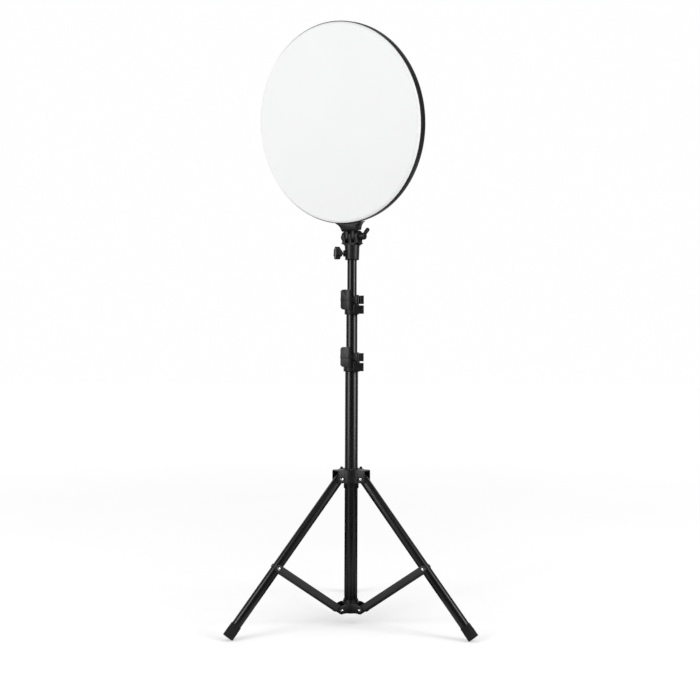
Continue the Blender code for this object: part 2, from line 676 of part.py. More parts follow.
def brace(side):
    """One folded brace: a channel from the hub to the leg, its web on top and cut back at both ends."""
    frame = LEG_FRAMES[side]
    pivot = empty(f"brace pivot {side}", (PIVOT_RADIUS, 0.0, HUB_PIVOT_Z), (0.0, -BRACE_ANGLE, 0.0), frame)
    outline = capsule((0.0, 0.0), (BRACE_LENGTH, 0.0), BRACE_HALF_HEIGHT, 6)
    body = plate(f"brace_{side}", outline, 2 * CHANNEL_OUTER, turn=UP_FACING, parent=pivot)
    bevel(body, THIN_EDGE, 1)
    under_web = BRACE_HALF_HEIGHT - BRACE_WALL
    beyond = BRACE_LENGTH + 2 * BRACE_HALF_HEIGHT
    low = (-2 * BRACE_HALF_HEIGHT, -CHANNEL_INNER, -2 * BRACE_HALF_HEIGHT)
    cut(body, box(f"brace hollow {side}", low, (beyond, CHANNEL_INNER, under_web), parent=pivot))
    mouth = (BRACE_LENGTH - BRACE_WEB_CUT_LEG, -CHANNEL_INNER, under_web - OVERLAP)
    top = 2 * BRACE_HALF_HEIGHT
    cut(body, box(f"brace leg mouth {side}", mouth, (beyond, CHANNEL_INNER, top), parent=pivot))
    heel = (-2 * BRACE_HALF_HEIGHT, -CHANNEL_INNER, under_web - OVERLAP)
    cut(body, box(f"brace hub mouth {side}", heel, (BRACE_WEB_CUT_HUB, CHANNEL_INNER, top), parent=pivot))
    for name, along in (("hub", 0.0), ("leg", BRACE_LENGTH)):
        cut(body, rivet_hole(f"brace {name} bore {side}", CHANNEL_OUTER + THROUGH, (along, 0.0, 0.0), pivot))
    dress(body, PAINTED_STEEL)
    for hand, label in ((-1, "near"), (1, "far")):
        brace_stud(f"brace_stud_{side}_{label}", hand, pivot)


def brace_stud(name, hand, pivot):
    """A stub rivet in one flange, which stops short of the leg: the linkage's open pivot."""
    seat = CHANNEL_OUTER + FIT
    profile = dome(RIVET_HEAD_R, seat, RIVET_HEAD_H)
    profile += [(RIVET_R, seat), (RIVET_R, CHANNEL_INNER), (0.0, CHANNEL_INNER)]
    turn = (-hand * math.pi / 2, 0.0, 0.0)
    dress(turned(name, profile, (BRACE_LENGTH, 0.0, 0.0), turn, pivot, PIN_ROUND), RIVET_STEEL)


def flip_lock(label, base, collar_r, lower_r, lower_top, upper_r):
    """A collar clamped round two tubes, with a flip lever on an upright pin at its right."""
    pin_at = arc(ORIGIN, collar_r + LOCK_PIN_OUT, LOCK_PIN_DIRECTION, LOCK_PIN_DIRECTION, 1)[0]
    frame = empty(f"{label} lock frame", (0.0, 0.0, base))
    lever_frame = empty(f"{label} lever pivot", (*pin_at, 0.0), parent=frame)
    dress(lock_collar(label, frame, lever_frame, collar_r, lower_r, upper_r, pin_at), PLASTIC)
    dress(lock_lever(label, lever_frame, collar_r, pin_at), PLASTIC)
    low = LOCK_EAR_LOW[0] - FIT
    high = LOCK_EAR_HIGH[1] + FIT
    top = high + LOCK_PIN_HEAD_H
    edge = LOCK_PIN_HEAD_H / 2
    profile = [(0.0, top), (LOCK_PIN_HEAD_R - edge, top), (LOCK_PIN_HEAD_R, top - edge)]
    profile += [(LOCK_PIN_HEAD_R, high), (LOCK_PIN_R, high), (LOCK_PIN_R, low), (LOCK_PIN_HEAD_R, low)]
    profile += [(LOCK_PIN_HEAD_R, low - LOCK_PIN_HEAD_H), (0.0, low - LOCK_PIN_HEAD_H)]
    dress(turned(f"{label}_lock_pin", profile, parent=lever_frame, steps=PIN_ROUND), SCREW_BLACK)
    liner_bottom = lower_top - base + FIT
    liner_top = LOCK_COLLAR_TOP - LINER_WALL - FIT
    liner = pipe(f"{label}_lock_liner", lower_r, upper_r + FIT, liner_bottom, liner_top, parent=frame)
    gap = LOCK_SLIT / 2
    cut(liner, box(f"{label} liner split", (0.0, -gap, 0.0), (lower_r * 2, gap, LOCK_HEIGHT), parent=frame))
    dress(liner, NYLON)


def lock_collar(label, frame, lever_frame, collar_r, lower_r, upper_r, pin_at):
    """The collar: a socket on the lower tube, a lip over the liner, two ears at the pin and a split."""
    lip = upper_r + FIT
    profile = [(collar_r - SOFT_EDGE, LOCK_COLLAR_TOP), (collar_r, LOCK_COLLAR_TOP - SOFT_EDGE)]
    profile += [(collar_r, SOFT_EDGE), (collar_r - SOFT_EDGE, 0.0), (lip, 0.0), (lip, LOCK_COLLAR_TOP)]
    collar = turned(f"{label}_lock_collar", profile, parent=frame, hollow=True)
    pin_x, pin_y = pin_at
    lug_room = LOCK_LUG_R + SLIDE_FIT
    front = pin_y - LOCK_LUG_R
    middle = pin_y + lug_room
    back = middle + LOCK_EAR_STEM
    root = collar_r * LOCK_EAR_ROOT
    low_ear = rounded([
        (LOCK_EAR_START, front, LOCK_EAR_ROUND),
        (LOCK_EAR_END, front, LOCK_EAR_ROUND),
        (LOCK_EAR_END, middle, LOCK_EAR_ROUND),
        (LOCK_EAR_START, middle, 0),
    ])
    high_ear = rounded([
        (pin_x + lug_room, front, LOCK_EAR_ROUND),
        (LOCK_EAR_END, front, LOCK_EAR_ROUND),
        (LOCK_EAR_END, back, LOCK_EAR_ROUND),
        (root, back, 0),
        (root, middle, 0),
        (pin_x + lug_room, middle, 0),
    ])
    for name, outline, heights in (("low", low_ear, LOCK_EAR_LOW), ("high", high_ear, LOCK_EAR_HIGH)):
        low, high = heights
        ear = plate(f"{label} {name} ear", outline, high - low, parent=frame, offset=(high + low) / 2)
        join(collar, bevel(ear, SOFT_EDGE, 1))
    pocket_low = LOCK_EAR_HIGH[0] - SLIDE_FIT
    pocket = rod(f"{label} lug pocket", lug_room, pocket_low, LOCK_HEIGHT, parent=lever_frame, sides=ROUND)
    cut(collar, pocket)
    bore_r = LOCK_PIN_R + FIT
    cut(collar, rod(f"{label} ear bore", bore_r, -THROUGH, pocket_low + OVERLAP, parent=lever_frame))
    bore = lower_r + FIT
    lip_z = LOCK_COLLAR_TOP - LINER_WALL
    cut(collar, rod(f"{label} collar bore", bore, -THROUGH, lip_z, parent=frame, sides=ROUND))
    gap = LOCK_SLIT / 2
    slit_low = (lip - OVERLAP, -gap, LOCK_COLLAR_STEP)
    return cut(collar, box(f"{label} split", slit_low, (collar_r + THROUGH, gap, LOCK_HEIGHT), parent=frame))


def lever_band(name, outer, inner, grown, low, high, frame):
    """The lever's plan between two heights: wrapped round the collar's front, then out to a flat tip."""
    tip_x = LOCK_PAD_X[0] - grown / 4
    outline = arc(ORIGIN, outer, LOCK_BAND_STARTS, LOCK_BAND_LEAVES, 5)
    front_y = LOCK_TIP_Y[0] - grown
    back_y = LOCK_TIP_Y[1] - grown
    outline += [(tip_x, front_y), (tip_x - LOCK_TIP_BULGE, (front_y + back_y) / 2), (tip_x, back_y)]
    outline += arc(ORIGIN, inner, LOCK_BAND_RETURNS, LOCK_BAND_STARTS, 3)
    return plate(name, outline, high - low, parent=frame, offset=(high + low) / 2)


def lock_lever(label, lever_frame, collar_r, pin_at):
    """The flip lever: its plan crossed with its front outline, a rib across it and a lug round the pin."""
    pin_x, pin_y = pin_at
    plan = empty(f"{label} lever plan", (-pin_x, -pin_y, 0.0), parent=lever_frame)
    sweep_r = collar_r + LOCK_LEVER_GAP
    outer = sweep_r + LOCK_LEVER_WALL
    beyond_top = LOCK_HEIGHT + THROUGH
    whole = lever_band(f"{label} lever body", outer, collar_r, 0.0, 0.0, beyond_top, plan)
    lug_low, lug_high = LOCK_EAR_HIGH
    left, right = LOCK_PAD_X
    arm_low = LOCK_RIB_Z - LOCK_ARM_HALF
    arm_high = LOCK_RIB_Z + LOCK_ARM_HALF
    lug_left = pin_x - LOCK_LUG_R / 2
    front = rounded([
        (left - OVERLAP, LOCK_PAD_BOTTOM, LOCK_PAD_ROUND_TIP),
        (right, LOCK_PAD_BOTTOM, LOCK_PAD_ROUND_HEEL),
        (right, arm_low, LOCK_ARM_ROUND),
        (lug_left, lug_low + FIT, 0),
        (outer, lug_low + FIT, 0),
        (outer, lug_high - FIT, 0),
        (lug_left, lug_high - FIT, 0),
        (right, arm_high, LOCK_ARM_ROUND),
        (right, LOCK_HEIGHT, LOCK_PAD_ROUND),
        (left - OVERLAP, LOCK_HEIGHT, LOCK_PAD_ROUND),
    ])
    name = f"{label}_lock_lever"
    lever = plate(name, front, 6 * LOCK_LUG_R, (-pin_x, 0.0, 0.0), UP_FACING, lever_frame)
    common(lever, whole)
    rib_low = LOCK_RIB_Z - LOCK_RIB_HALF
    rib_high = LOCK_RIB_Z + LOCK_RIB_HALF
    rib_r = outer + LOCK_RIB_PROUD
    root_r = outer - OVERLAP
    join(lever, lever_band(f"{label} lever rib", rib_r, root_r, LOCK_RIB_PROUD, rib_low, rib_high, plan))
    cut(lever, rod(f"{label} collar sweep", sweep_r, -THROUGH, beyond_top, parent=plan, sides=ROUND))
    lug = rod(f"{label} lever lug", LOCK_LUG_R, lug_low, lug_high, parent=lever_frame)
    join(lever, bevel(lug, SOFT_EDGE, 1))
    return cut(lever, rod(f"{label} lever bore", LOCK_PIN_R + FIT, 0.0, LOCK_HEIGHT, parent=lever_frame))


def spigot():
    """The stud in the top tube's mouth that the socket sits on."""
    bore = TOP_R - TOP_WALL - FIT
    seat = TOP_TOP + FIT
    soft = SOFT_EDGE
    profile = [(0.0, SPIGOT_TOP), (SPIGOT_R - soft, SPIGOT_TOP), (SPIGOT_R, SPIGOT_TOP - soft)]
    profile += [(SPIGOT_R, seat), (bore, seat), (bore, seat - GUIDE_STUB), (0.0, seat - GUIDE_STUB)]
    dress(turned("top_spigot", profile), RIVET_STEEL)


def tine(name, thickness, middle, radius, root_z, root_half, frame):
    """One knuckle of the hinge, square to the frame's X: a round end with a root above or below it."""
    start, end = (180, 0) if root_z < 0 else (0, -180)
    outline = arc((0.0, 0.0), radius, start, end, 10)
    if root_z < 0:
        waist = -radius * TINE_WAIST
        outline += [(root_half, waist), (root_half, root_z), (-root_half, root_z), (-root_half, waist)]
    else:
        outline += [(-root_half, root_z), (root_half, root_z)]
    return plate(name, outline, thickness, (middle, 0.0, 0.0), SIDE_FACING, frame)


def socket_base():
    """The base of the tilt hinge: a round socket below, three tines above, and a boss for the clamp screw."""
    bore = TOP_R + FIT
    soft = SOFT_EDGE
    roof = SOCKET_TOP - SOCKET_ROOF
    top = SOCKET_TOP + OVERLAP
    profile = [(0.0, top), (SOCKET_R_TOP, top), (SOCKET_R_BOTTOM, SOCKET_BOTTOM + soft)]
    profile += [(SOCKET_R_BOTTOM - soft, SOCKET_BOTTOM), (bore, SOCKET_BOTTOM), (bore, roof), (0.0, roof)]
    base = turned("socket_base", profile)
    yoke_bottom = SOCKET_TOP - HINGE_Z
    yoke_top = -BASE_FLOOR
    outline = [(-YOKE_FOOT_HALF, yoke_bottom), (YOKE_FOOT_HALF, yoke_bottom), (STACK_HALF, yoke_top)]
    outline.append((-STACK_HALF, yoke_top))
    yoke = plate("yoke", outline, 2 * TINE_R, turn=UP_FACING, parent=HINGE_FRAME)
    join(base, bevel(yoke, ROUND_EDGE, 2))
    pitch = BASE_TINE + NECK_TINE + 2 * TINE_GAP
    for hand in (-1, 0, 1):
        middle = hand * pitch
        root = yoke_top - OVERLAP
        join(base, tine(f"base tine {hand}", BASE_TINE, middle, TINE_R, root, TINE_ROOT_HALF, HINGE_FRAME))
    half = 2 * STACK_HALF
    cut(base, rod("base bolt bore", BOLT_R + FIT, -half, half, turn=SIDE_FACING, parent=HINGE_FRAME))
    at = (0.0, 0.0, CLAMP_Z)
    boss = rod("clamp boss", CLAMP_BOSS_R, bore + OVERLAP, CLAMP_BOSS_END, at, CLAMP_TURN)
    join(base, bevel(boss, THIN_EDGE))
    cut(base, rod("clamp thread", CLAMP_SCREW_R + FIT, 0.0, CLAMP_BOSS_END + THROUGH, at, CLAMP_TURN))
    dress(base, PLASTIC)


def clamp():
    """The lobed clamp knob and its screw, along -X, against the spigot."""
    at = (0.0, 0.0, CLAMP_Z)
    along = CLAMP_TURN
    bore_end = KNOB_END - KNOB_FLOOR
    profile = [(0.0, bore_end - FIT), (CLAMP_SCREW_R, bore_end - FIT), (CLAMP_SCREW_R, SPIGOT_R + 2 * FIT)]
    profile += [(CLAMP_SCREW_R - FINE_EDGE, SPIGOT_R + FIT), (0.0, SPIGOT_R + FIT)]
    dress(turned("clamp_screw", profile, at, along, steps=SMALL_ROUND), RIVET_STEEL)
    count = KNOB_LOBES * 6
    angles = [2 * math.pi * i / count for i in range(count)]
    radii = [KNOB_R + KNOB_LOBE * math.cos(KNOB_LOBES * a) for a in angles]
    outline = [(r * math.cos(a), r * math.sin(a)) for r, a in zip(radii, angles)]
    thick = KNOB_END - KNOB_SHOULDER
    knob = plate("clamp_knob", outline, thick, at, along, offset=KNOB_SHOULDER + thick / 2)
    bevel(knob, KNOB_EDGE, 1, 60.0)
    flared = KNOB_NECK_R + KNOB_NECK_FLARE
    join(knob, rod("knob neck", KNOB_NECK_R, KNOB_START, KNOB_SHOULDER + OVERLAP, at, along, tip=flared))
    cut(knob, rod("knob bore", CLAMP_SCREW_R + FIT, KNOB_START - THROUGH, bore_end, at, along))
    dress(knob, PLASTIC)


def hinge_bolt():
    """The bolt through all five tines, with its round head at the left."""
    side = (0.0, math.pi / 2, 0.0)
    seat = STACK_HALF + FIT
    top = -seat - BOLT_HEAD_H
    tip = STACK_HALF + WING_HUB_LENGTH - 4 * FIT
    soft = SOFT_EDGE
    profile = [(0.0, tip), (BOLT_R - FINE_EDGE, tip), (BOLT_R, tip - FINE_EDGE)]
    profile += [(BOLT_R, -seat), (BOLT_HEAD_R, -seat)]
    profile += [(BOLT_HEAD_R, top + soft), (BOLT_HEAD_R - soft, top), (0.0, top)]
    dress(turned("hinge_bolt", profile, turn=side, parent=HINGE_FRAME, steps=SMALL_ROUND), SCREW_BLACK)


def wing_nut():
    """The wing lever on the bolt's right end: a round hub and one paddle, leant out and back."""
    seat = STACK_HALF + FIT
    end = seat + WING_HUB_LENGTH
    side = (0.0, math.pi / 2, 0.0)
    soft = WING_EDGE
    profile = [(0.0, end), (WING_HUB_R - 1.5 * soft, end), (WING_HUB_R - soft / 2, end - soft)]
    profile += [(WING_HUB_R, seat + soft), (WING_HUB_R, seat), (BOLT_R + FIT, seat)]
    profile += [(BOLT_R + FIT, end - soft), (0.0, end - soft)]
    nut = turned("wing_nut", profile, turn=side, parent=HINGE_FRAME, steps=SMALL_ROUND)
    middle = (seat + WING_HUB_LENGTH * WING_ROOT, 0.0, 0.0)
    root = empty("wing root", middle, (WING_LEAN_BACK, 0.0, 0.0), HINGE_FRAME)
    lean = empty("wing lean", turn=(0.0, WING_LEAN_OUT, 0.0), parent=root)
    start = BOLT_R + OVERLAP + WING_WIDTH / 2
    outline = capsule((start, 0.0), (WING_REACH, 0.0), WING_WIDTH / 2)
    up = (0.0, -math.pi / 2, 0.0)
    paddle = plate("wing paddle", outline, WING_THICK, turn=up, parent=lean)
    join(nut, bevel(paddle, ROUND_EDGE, 1))
    dress(nut, PLASTIC)


def neck_outline():
    """The neck from the front: a narrow waist that flares in two hollow curves to a saddle under the disc."""
    waist = NECK_WAIST_WIDTH / 2
    flare = NECK_TOP_WIDTH / 2 - waist
    bottom = TINE_R + TINE_GAP
    saddle_r = DISC_R + FIT
    half_top = math.degrees(math.asin(NECK_TOP_WIDTH / 2 / saddle_r))
    saddle = arc((0.0, DISC_CENTRE_Z), saddle_r, -90 - half_top, -90 + half_top, 10)
    rise = saddle[-1][1] - bottom
    steps = 8
    turns = [NECK_FLARE_TURN * i / steps for i in range(steps)]
    flare /= 1 - math.cos(NECK_FLARE_TURN)
    rise /= math.sin(NECK_FLARE_TURN)
    right = [(waist + flare * (1 - math.cos(a)), bottom + rise * math.sin(a)) for a in turns]
    left = [(-x, z) for x, z in right]
    return left + saddle + right[::-1]


def neck():
    """The neck between the hinge and the disc, with two tines below and a tongue that enters the housing."""
    body = plate("neck", neck_outline(), NECK_DEPTH, turn=UP_FACING, parent=HEAD_FRAME)
    half = NECK_DEPTH / 2
    foot_half = NECK_FOOT_DEPTH / 2
    bottom = TINE_R + TINE_GAP
    top = DISC_BELOW + 2 * THROUGH
    profile = [(-foot_half, bottom - OVERLAP), (foot_half, bottom - OVERLAP), (half - FIT, NECK_CHAMFER_Z)]
    profile += [(half - FIT, top), (FIT - half, top), (FIT - half, NECK_CHAMFER_Z)]
    taper = plate("neck taper", profile, NECK_TOP_WIDTH + 2 * THROUGH, turn=SIDE_FACING, parent=HEAD_FRAME)
    common(body, bevel(taper, ROUND_EDGE, 2, 20.0))
    pitch = (BASE_TINE + NECK_TINE) / 2 + TINE_GAP
    radius = TINE_R - TINE_GAP
    for hand in (-1, 1):
        middle = hand * pitch
        root = bottom + 2 * OVERLAP
        root_half = foot_half - OVERLAP
        join(body, tine(f"neck tine {hand}", NECK_TINE, middle, radius, root, root_half, HEAD_FRAME))
    through = 2 * STACK_HALF
    cut(body, rod("neck bolt bore", BOLT_R + FIT, -through, through, turn=SIDE_FACING, parent=HEAD_FRAME))
    tongue_low = (-NECK_TONGUE_WIDTH / 2, -DISC_R - 2 * OVERLAP, TONGUE_BACK)
    tongue_high = (NECK_TONGUE_WIDTH / 2, NECK_TONGUE_IN - DISC_R, TONGUE_FRONT)
    join(body, box("neck tongue", tongue_low, tongue_high, parent=DISC_FRAME))
    for hand, label in ((-1, "left"), (1, "right")):
        at = (hand * NECK_SCREW_X, NECK_SCREW_IN - DISC_R, 0.0)
        seat = HOUSING_BACK - FIT
        end = seat + NECK_SCREW_LENGTH
        low = seat - NECK_SCREW_HEAD_H
        rim = FINE_EDGE
        profile = [(0.0, end), (NECK_SCREW_R, end), (NECK_SCREW_R, seat), (NECK_SCREW_HEAD_R, seat)]
        profile += [(NECK_SCREW_HEAD_R, low + rim), (NECK_SCREW_HEAD_R - rim, low), (0.0, low)]
        dress(turned(f"neck_screw_{label}", profile, at, parent=DISC_FRAME, steps=PIN_ROUND), SCREW_BLACK)
        bore_r = NECK_SCREW_R + FIT
        cut(body, rod(f"neck screw bore {label}", bore_r, seat - THROUGH, end + FIT, at, parent=DISC_FRAME))
    dress(body, PLASTIC)


def ring_of(obj, count):
    """Copies a shape round its own Z into a ring of separate bodies in one mesh."""
    bm = bmesh.new()
    bm.from_mesh(obj.data)
    share = 2 * math.pi / count
    bmesh.ops.spin(
        bm,
        geom=bm.verts[:] + bm.edges[:] + bm.faces[:],
        cent=ORIGIN,
        axis=(0.0, 0.0, 1.0),
        angle=share * (count - 1),
        steps=count - 1,
        use_duplicate=True,
    )
    bm.to_mesh(obj.data)
    bm.free()
    return obj


def disc_hole(name, x, y, radius):
    """A cutter through the housing's back."""
    low = HOUSING_BACK - BACK_STEP - THROUGH
    high = HOUSING_BACK + HOUSING_WALL + OVERLAP
    return rod(name, radius, low, high, (x, y, 0.0), parent=DISC_FRAME)


def post(name, x, y, radius, top):
    """A post on the housing's back wall, up to what it carries."""
    low = HOUSING_BACK + HOUSING_WALL - OVERLAP
    return rod(name, radius, low, top, (x, y, 0.0), parent=DISC_FRAME, sides=PIN_ROUND)


def rear_housing():
    """The black dish behind the light: a rim, a rounded back edge and a raised middle with vents."""
    soft = FINE_EDGE
    back = HOUSING_BACK
    floor = back + HOUSING_WALL
    inner_r = DISC_R - HOUSING_WALL
    profile = [(0.0, floor - BACK_STEP), (BACK_STEP_R - BACK_STEP, floor - BACK_STEP), (BACK_STEP_R, floor)]
    profile += [(inner_r - HOUSING_ROUND / 2, floor), (inner_r, floor + HOUSING_ROUND / 2)]
    profile += [(inner_r, HOUSING_FRONT), (DISC_R - soft, HOUSING_FRONT), (DISC_R, HOUSING_FRONT - soft)]
    profile += arc((DISC_R - HOUSING_ROUND, back + HOUSING_ROUND), HOUSING_ROUND, 0, -90, 3)
    profile += [(BACK_STEP_R + BACK_STEP, back), (BACK_STEP_R, back - BACK_STEP), (0.0, back - BACK_STEP)]
    half_step = (0.0, 0.0, math.pi / DISC_ROUND)
    dish = turned("rear_housing", profile, turn=half_step, parent=DISC_FRAME, steps=DISC_ROUND)
    inner_end = DISC_R - VENT_IN - VENT_LENGTH / 2
    outer_end = inner_end + VENT_LENGTH
    slot = capsule((0.0, inner_end), (0.0, outer_end), VENT_WIDTH / 2, 2)
    depth = HOUSING_WALL + 2 * THROUGH
    middle = floor - BACK_STEP - HOUSING_WALL / 2
    cut(dish, ring_of(plate("vents", slot, depth, parent=DISC_FRAME, offset=middle), VENT_COUNT))
    boss_high = BOARD_BACK - FIT
    boss_low = floor - OVERLAP
    boss_round = [(x + DISC_R - BOSS_IN, y) for x, y in arc(ORIGIN, BOSS_R, 0, 315, 7)]
    middle = (boss_high + boss_low) / 2
    bosses = plate("board bosses", boss_round, boss_high - boss_low, parent=DISC_FRAME, offset=middle)
    join(dish, ring_of(bosses, BOSS_COUNT))
    for hand in (-1, 1):
        x = hand * (DRIVER_WIDTH / 2 - DRIVER_POST_IN)
        y = CONTROL_Y + DRIVER_HEIGHT / 2 - DRIVER_POST_IN
        join(dish, post(f"driver post {hand}", x, y, DRIVER_POST_R, DRIVER_BACK - FIT))
        screw_y = NECK_SCREW_IN - DISC_R
        cut(dish, disc_hole(f"screw passage {hand}", hand * NECK_SCREW_X, screw_y, NECK_SCREW_R + FIT))
    for index in (-1, 0, 1):
        cut(dish, disc_hole(f"button hole {index}", index * CONTROL_PITCH, CONTROL_Y, BUTTON_R + FIT))
    cut(dish, disc_hole("inlet hole", INLET_X, CONTROL_Y, INLET_R + FIT))
    half = NECK_TONGUE_WIDTH / 2 + FIT
    low = (-half, -DISC_R - THROUGH, TONGUE_BACK - FIT / 2)
    high = (half, NECK_TONGUE_IN + FIT - DISC_R, TONGUE_FRONT + FIT)
    cut(dish, box("tongue slot", low, high, parent=DISC_FRAME))
    dress(dish, HOUSING_BLACK)


def diffuser():
    """The white opal front: a flat face with a rounded shoulder, and a skirt inside the housing's rim."""
    top = HOUSING_FRONT + DIFFUSER_PROUD
    seat = HOUSING_FRONT + FIT
    flat_r = DIFFUSER_R - DIFFUSER_ROUND
    skirt_r = DISC_R - HOUSING_WALL - FIT
    steps = 3
    turns = [math.pi / 2 * i / steps for i in range(steps + 1)]
    outer = [(flat_r + DIFFUSER_ROUND * math.sin(a), seat + (top - seat) * math.cos(a)) for a in turns]
    hollow_r = DIFFUSER_ROUND - DIFFUSER_WALL
    hollow_h = top - seat - DIFFUSER_WALL
    inner = [(flat_r + hollow_r * math.sin(a), seat + hollow_h * math.cos(a)) for a in turns[::3]]
    low = seat - DIFFUSER_SKIRT
    profile = [(0.0, top)] + outer + [(skirt_r, seat), (skirt_r, low), (inner[-1][0], low)]
    profile += inner[::-1] + [(0.0, top - DIFFUSER_WALL)]
    dress(turned("diffuser", profile, parent=DISC_FRAME, steps=DISC_ROUND), OPAL)


def led_board():
    """The round board behind the diffuser, with three rings of light chips."""
    top = BOARD_BACK + BOARD_THICK
    profile = [(0.0, top), (BOARD_R, top), (BOARD_R, BOARD_BACK), (0.0, BOARD_BACK)]
    board = turned("led_board", profile, parent=DISC_FRAME, steps=DISC_ROUND // 2)
    half = CHIP_SIZE / 2
    for inset, count in CHIP_RINGS:
        radius = BOARD_R - inset
        low = (-half, radius - half, top - CHIP_H)
        chips = box(f"chips {count}", low, (half, radius + half, top + CHIP_H), parent=DISC_FRAME)
        join(board, ring_of(chips, count))
    dress(board, BOARD_WHITE)


def electronics():
    """The driver board behind the light board, the three push buttons and the power inlet."""
    half_x = DRIVER_WIDTH / 2
    half_y = DRIVER_HEIGHT / 2
    top = DRIVER_BACK + DRIVER_THICK
    low = (-half_x, CONTROL_Y - half_y, DRIVER_BACK)
    driver = box("driver_board", low, (half_x, CONTROL_Y + half_y, top), parent=DISC_FRAME)
    root = top - FINE_EDGE
    for hand, label, size in ((-1, "coil", DRIVER_COIL), (1, "chip", DRIVER_CHIP)):
        wide, deep, tall = size
        x = hand * DRIVER_PART_X
        low = (x - wide / 2, CONTROL_Y - deep / 2, root)
        high = (x + wide / 2, CONTROL_Y + deep / 2, top + tall)
        join(driver, box(f"driver {label}", low, high, parent=DISC_FRAME))
    dress(driver, BOARD_GREEN)
    flange_low = HOUSING_BACK + HOUSING_WALL + FIT
    flange_high = flange_low + BUTTON_FLANGE
    face = HOUSING_BACK - BUTTON_PROUD
    soft = FINE_EDGE
    for index, label in ((-1, "dim"), (0, "power"), (1, "bright")):
        profile = [(0.0, flange_high), (BUTTON_FLANGE_R, flange_high), (BUTTON_FLANGE_R, flange_low)]
        profile += [(BUTTON_R, flange_low), (BUTTON_R, face + soft), (BUTTON_R - soft, face), (0.0, face)]
        at = (index * CONTROL_PITCH, CONTROL_Y, 0.0)
        dress(turned(f"{label}_button", profile, at, parent=DISC_FRAME, steps=SMALL_ROUND), BUTTON_GREY)
    mouth = HOUSING_BACK - INLET_PROUD
    end = mouth + INLET_DEPTH
    bottom = end - INLET_FLOOR
    pin_tip = mouth + INLET_PIN_IN
    profile = [(0.0, end), (INLET_R, end), (INLET_R, flange_high), (INLET_FLANGE_R, flange_high)]
    profile += [(INLET_FLANGE_R, flange_low), (INLET_R, flange_low), (INLET_R, mouth), (INLET_BORE_R, mouth)]
    profile += [(INLET_BORE_R, bottom), (INLET_PIN_R, bottom), (INLET_PIN_R, pin_tip), (0.0, pin_tip)]
    at = (INLET_X, CONTROL_Y, 0.0)
    dress(turned("power_inlet", profile, at, parent=DISC_FRAME, steps=SMALL_ROUND), PLASTIC)


clear_scene()
PARTS = new_collection(OBJECT_NAME)
CUTTERS = new_collection(OBJECT_NAME + " cutters")
CUTTERS.hide_render = True

TUBE_BLACK = new_material("black painted tube", (0.012, 0.012, 0.013), 0.32, 0.2)
PAINTED_STEEL = new_material("black painted steel", (0.014, 0.014, 0.015), 0.42, 0.2)
PLASTIC = new_material("black moulded plastic", (0.018, 0.018, 0.019), 0.5)
HOUSING_BLACK = new_material("black housing plastic", (0.02, 0.02, 0.021), 0.42)
RUBBER = new_material("black rubber", (0.015, 0.015, 0.015), 0.75)
NYLON = new_material("grey nylon", (0.35, 0.35, 0.35), 0.5)
RIVET_STEEL = new_material("bright steel", (0.75, 0.75, 0.76), 0.25, 1.0)
SCREW_BLACK = new_material("blackened steel", (0.03, 0.03, 0.032), 0.35, 0.8)
OPAL = new_material("opal white plastic", (0.93, 0.93, 0.93), 0.55)
BOARD_WHITE = new_material("white circuit board", (0.85, 0.85, 0.83), 0.5)
BOARD_GREEN = new_material("green circuit board", (0.02, 0.16, 0.06), 0.45)
BUTTON_GREY = new_material("grey button plastic", (0.12, 0.12, 0.125), 0.5)

TONGUE_BACK = HOUSING_BACK + HOUSING_WALL + SLIDE_FIT
TONGUE_FRONT = BOARD_BACK - 2 * FIT
LEG_FRAMES = {
    side: empty(f"{side} leg direction", turn=(0.0, 0.0, math.radians(degrees)))
    for side, degrees in LEG_DIRECTIONS.items()
}
HINGE_FRAME = empty("tilt hinge", (0.0, 0.0, HINGE_Z), (0.0, 0.0, SOCKET_YAW))
HEAD_FRAME = empty("tilted head", turn=(HEAD_TILT, 0.0, 0.0), parent=HINGE_FRAME)
DISC_FRAME = empty("disc axis", (0.0, 0.0, DISC_CENTRE_Z), UP_FACING, HEAD_FRAME)

column()
slides()
lower_hub()
crown()
for leg_side in LEG_DIRECTIONS:
    leg(leg_side)
    brace(leg_side)
flip_lock("lower", LOWER_LOCK_Z, LOWER_LOCK_R, COLUMN_R, COLUMN_TOP, MID_R)
flip_lock("upper", UPPER_LOCK_Z, UPPER_LOCK_R, MID_R, MID_TOP, TOP_R)
spigot()
socket_base()
clamp()
hinge_bolt()
wing_nut()
neck()
rear_housing()
diffuser()
led_board()
electronics()
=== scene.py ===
"""The looks of a round LED studio light on a folding stand: finer pieces, finishes, lamps and camera.

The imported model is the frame, in metres, +Z up, with the photograph's side at -Y.
Each piece is drawn about its own axis, then laid in its place.
It rides on the body of the node that it replaces.
"""

import json
import math

import bpy
from mathutils import Matrix, Vector

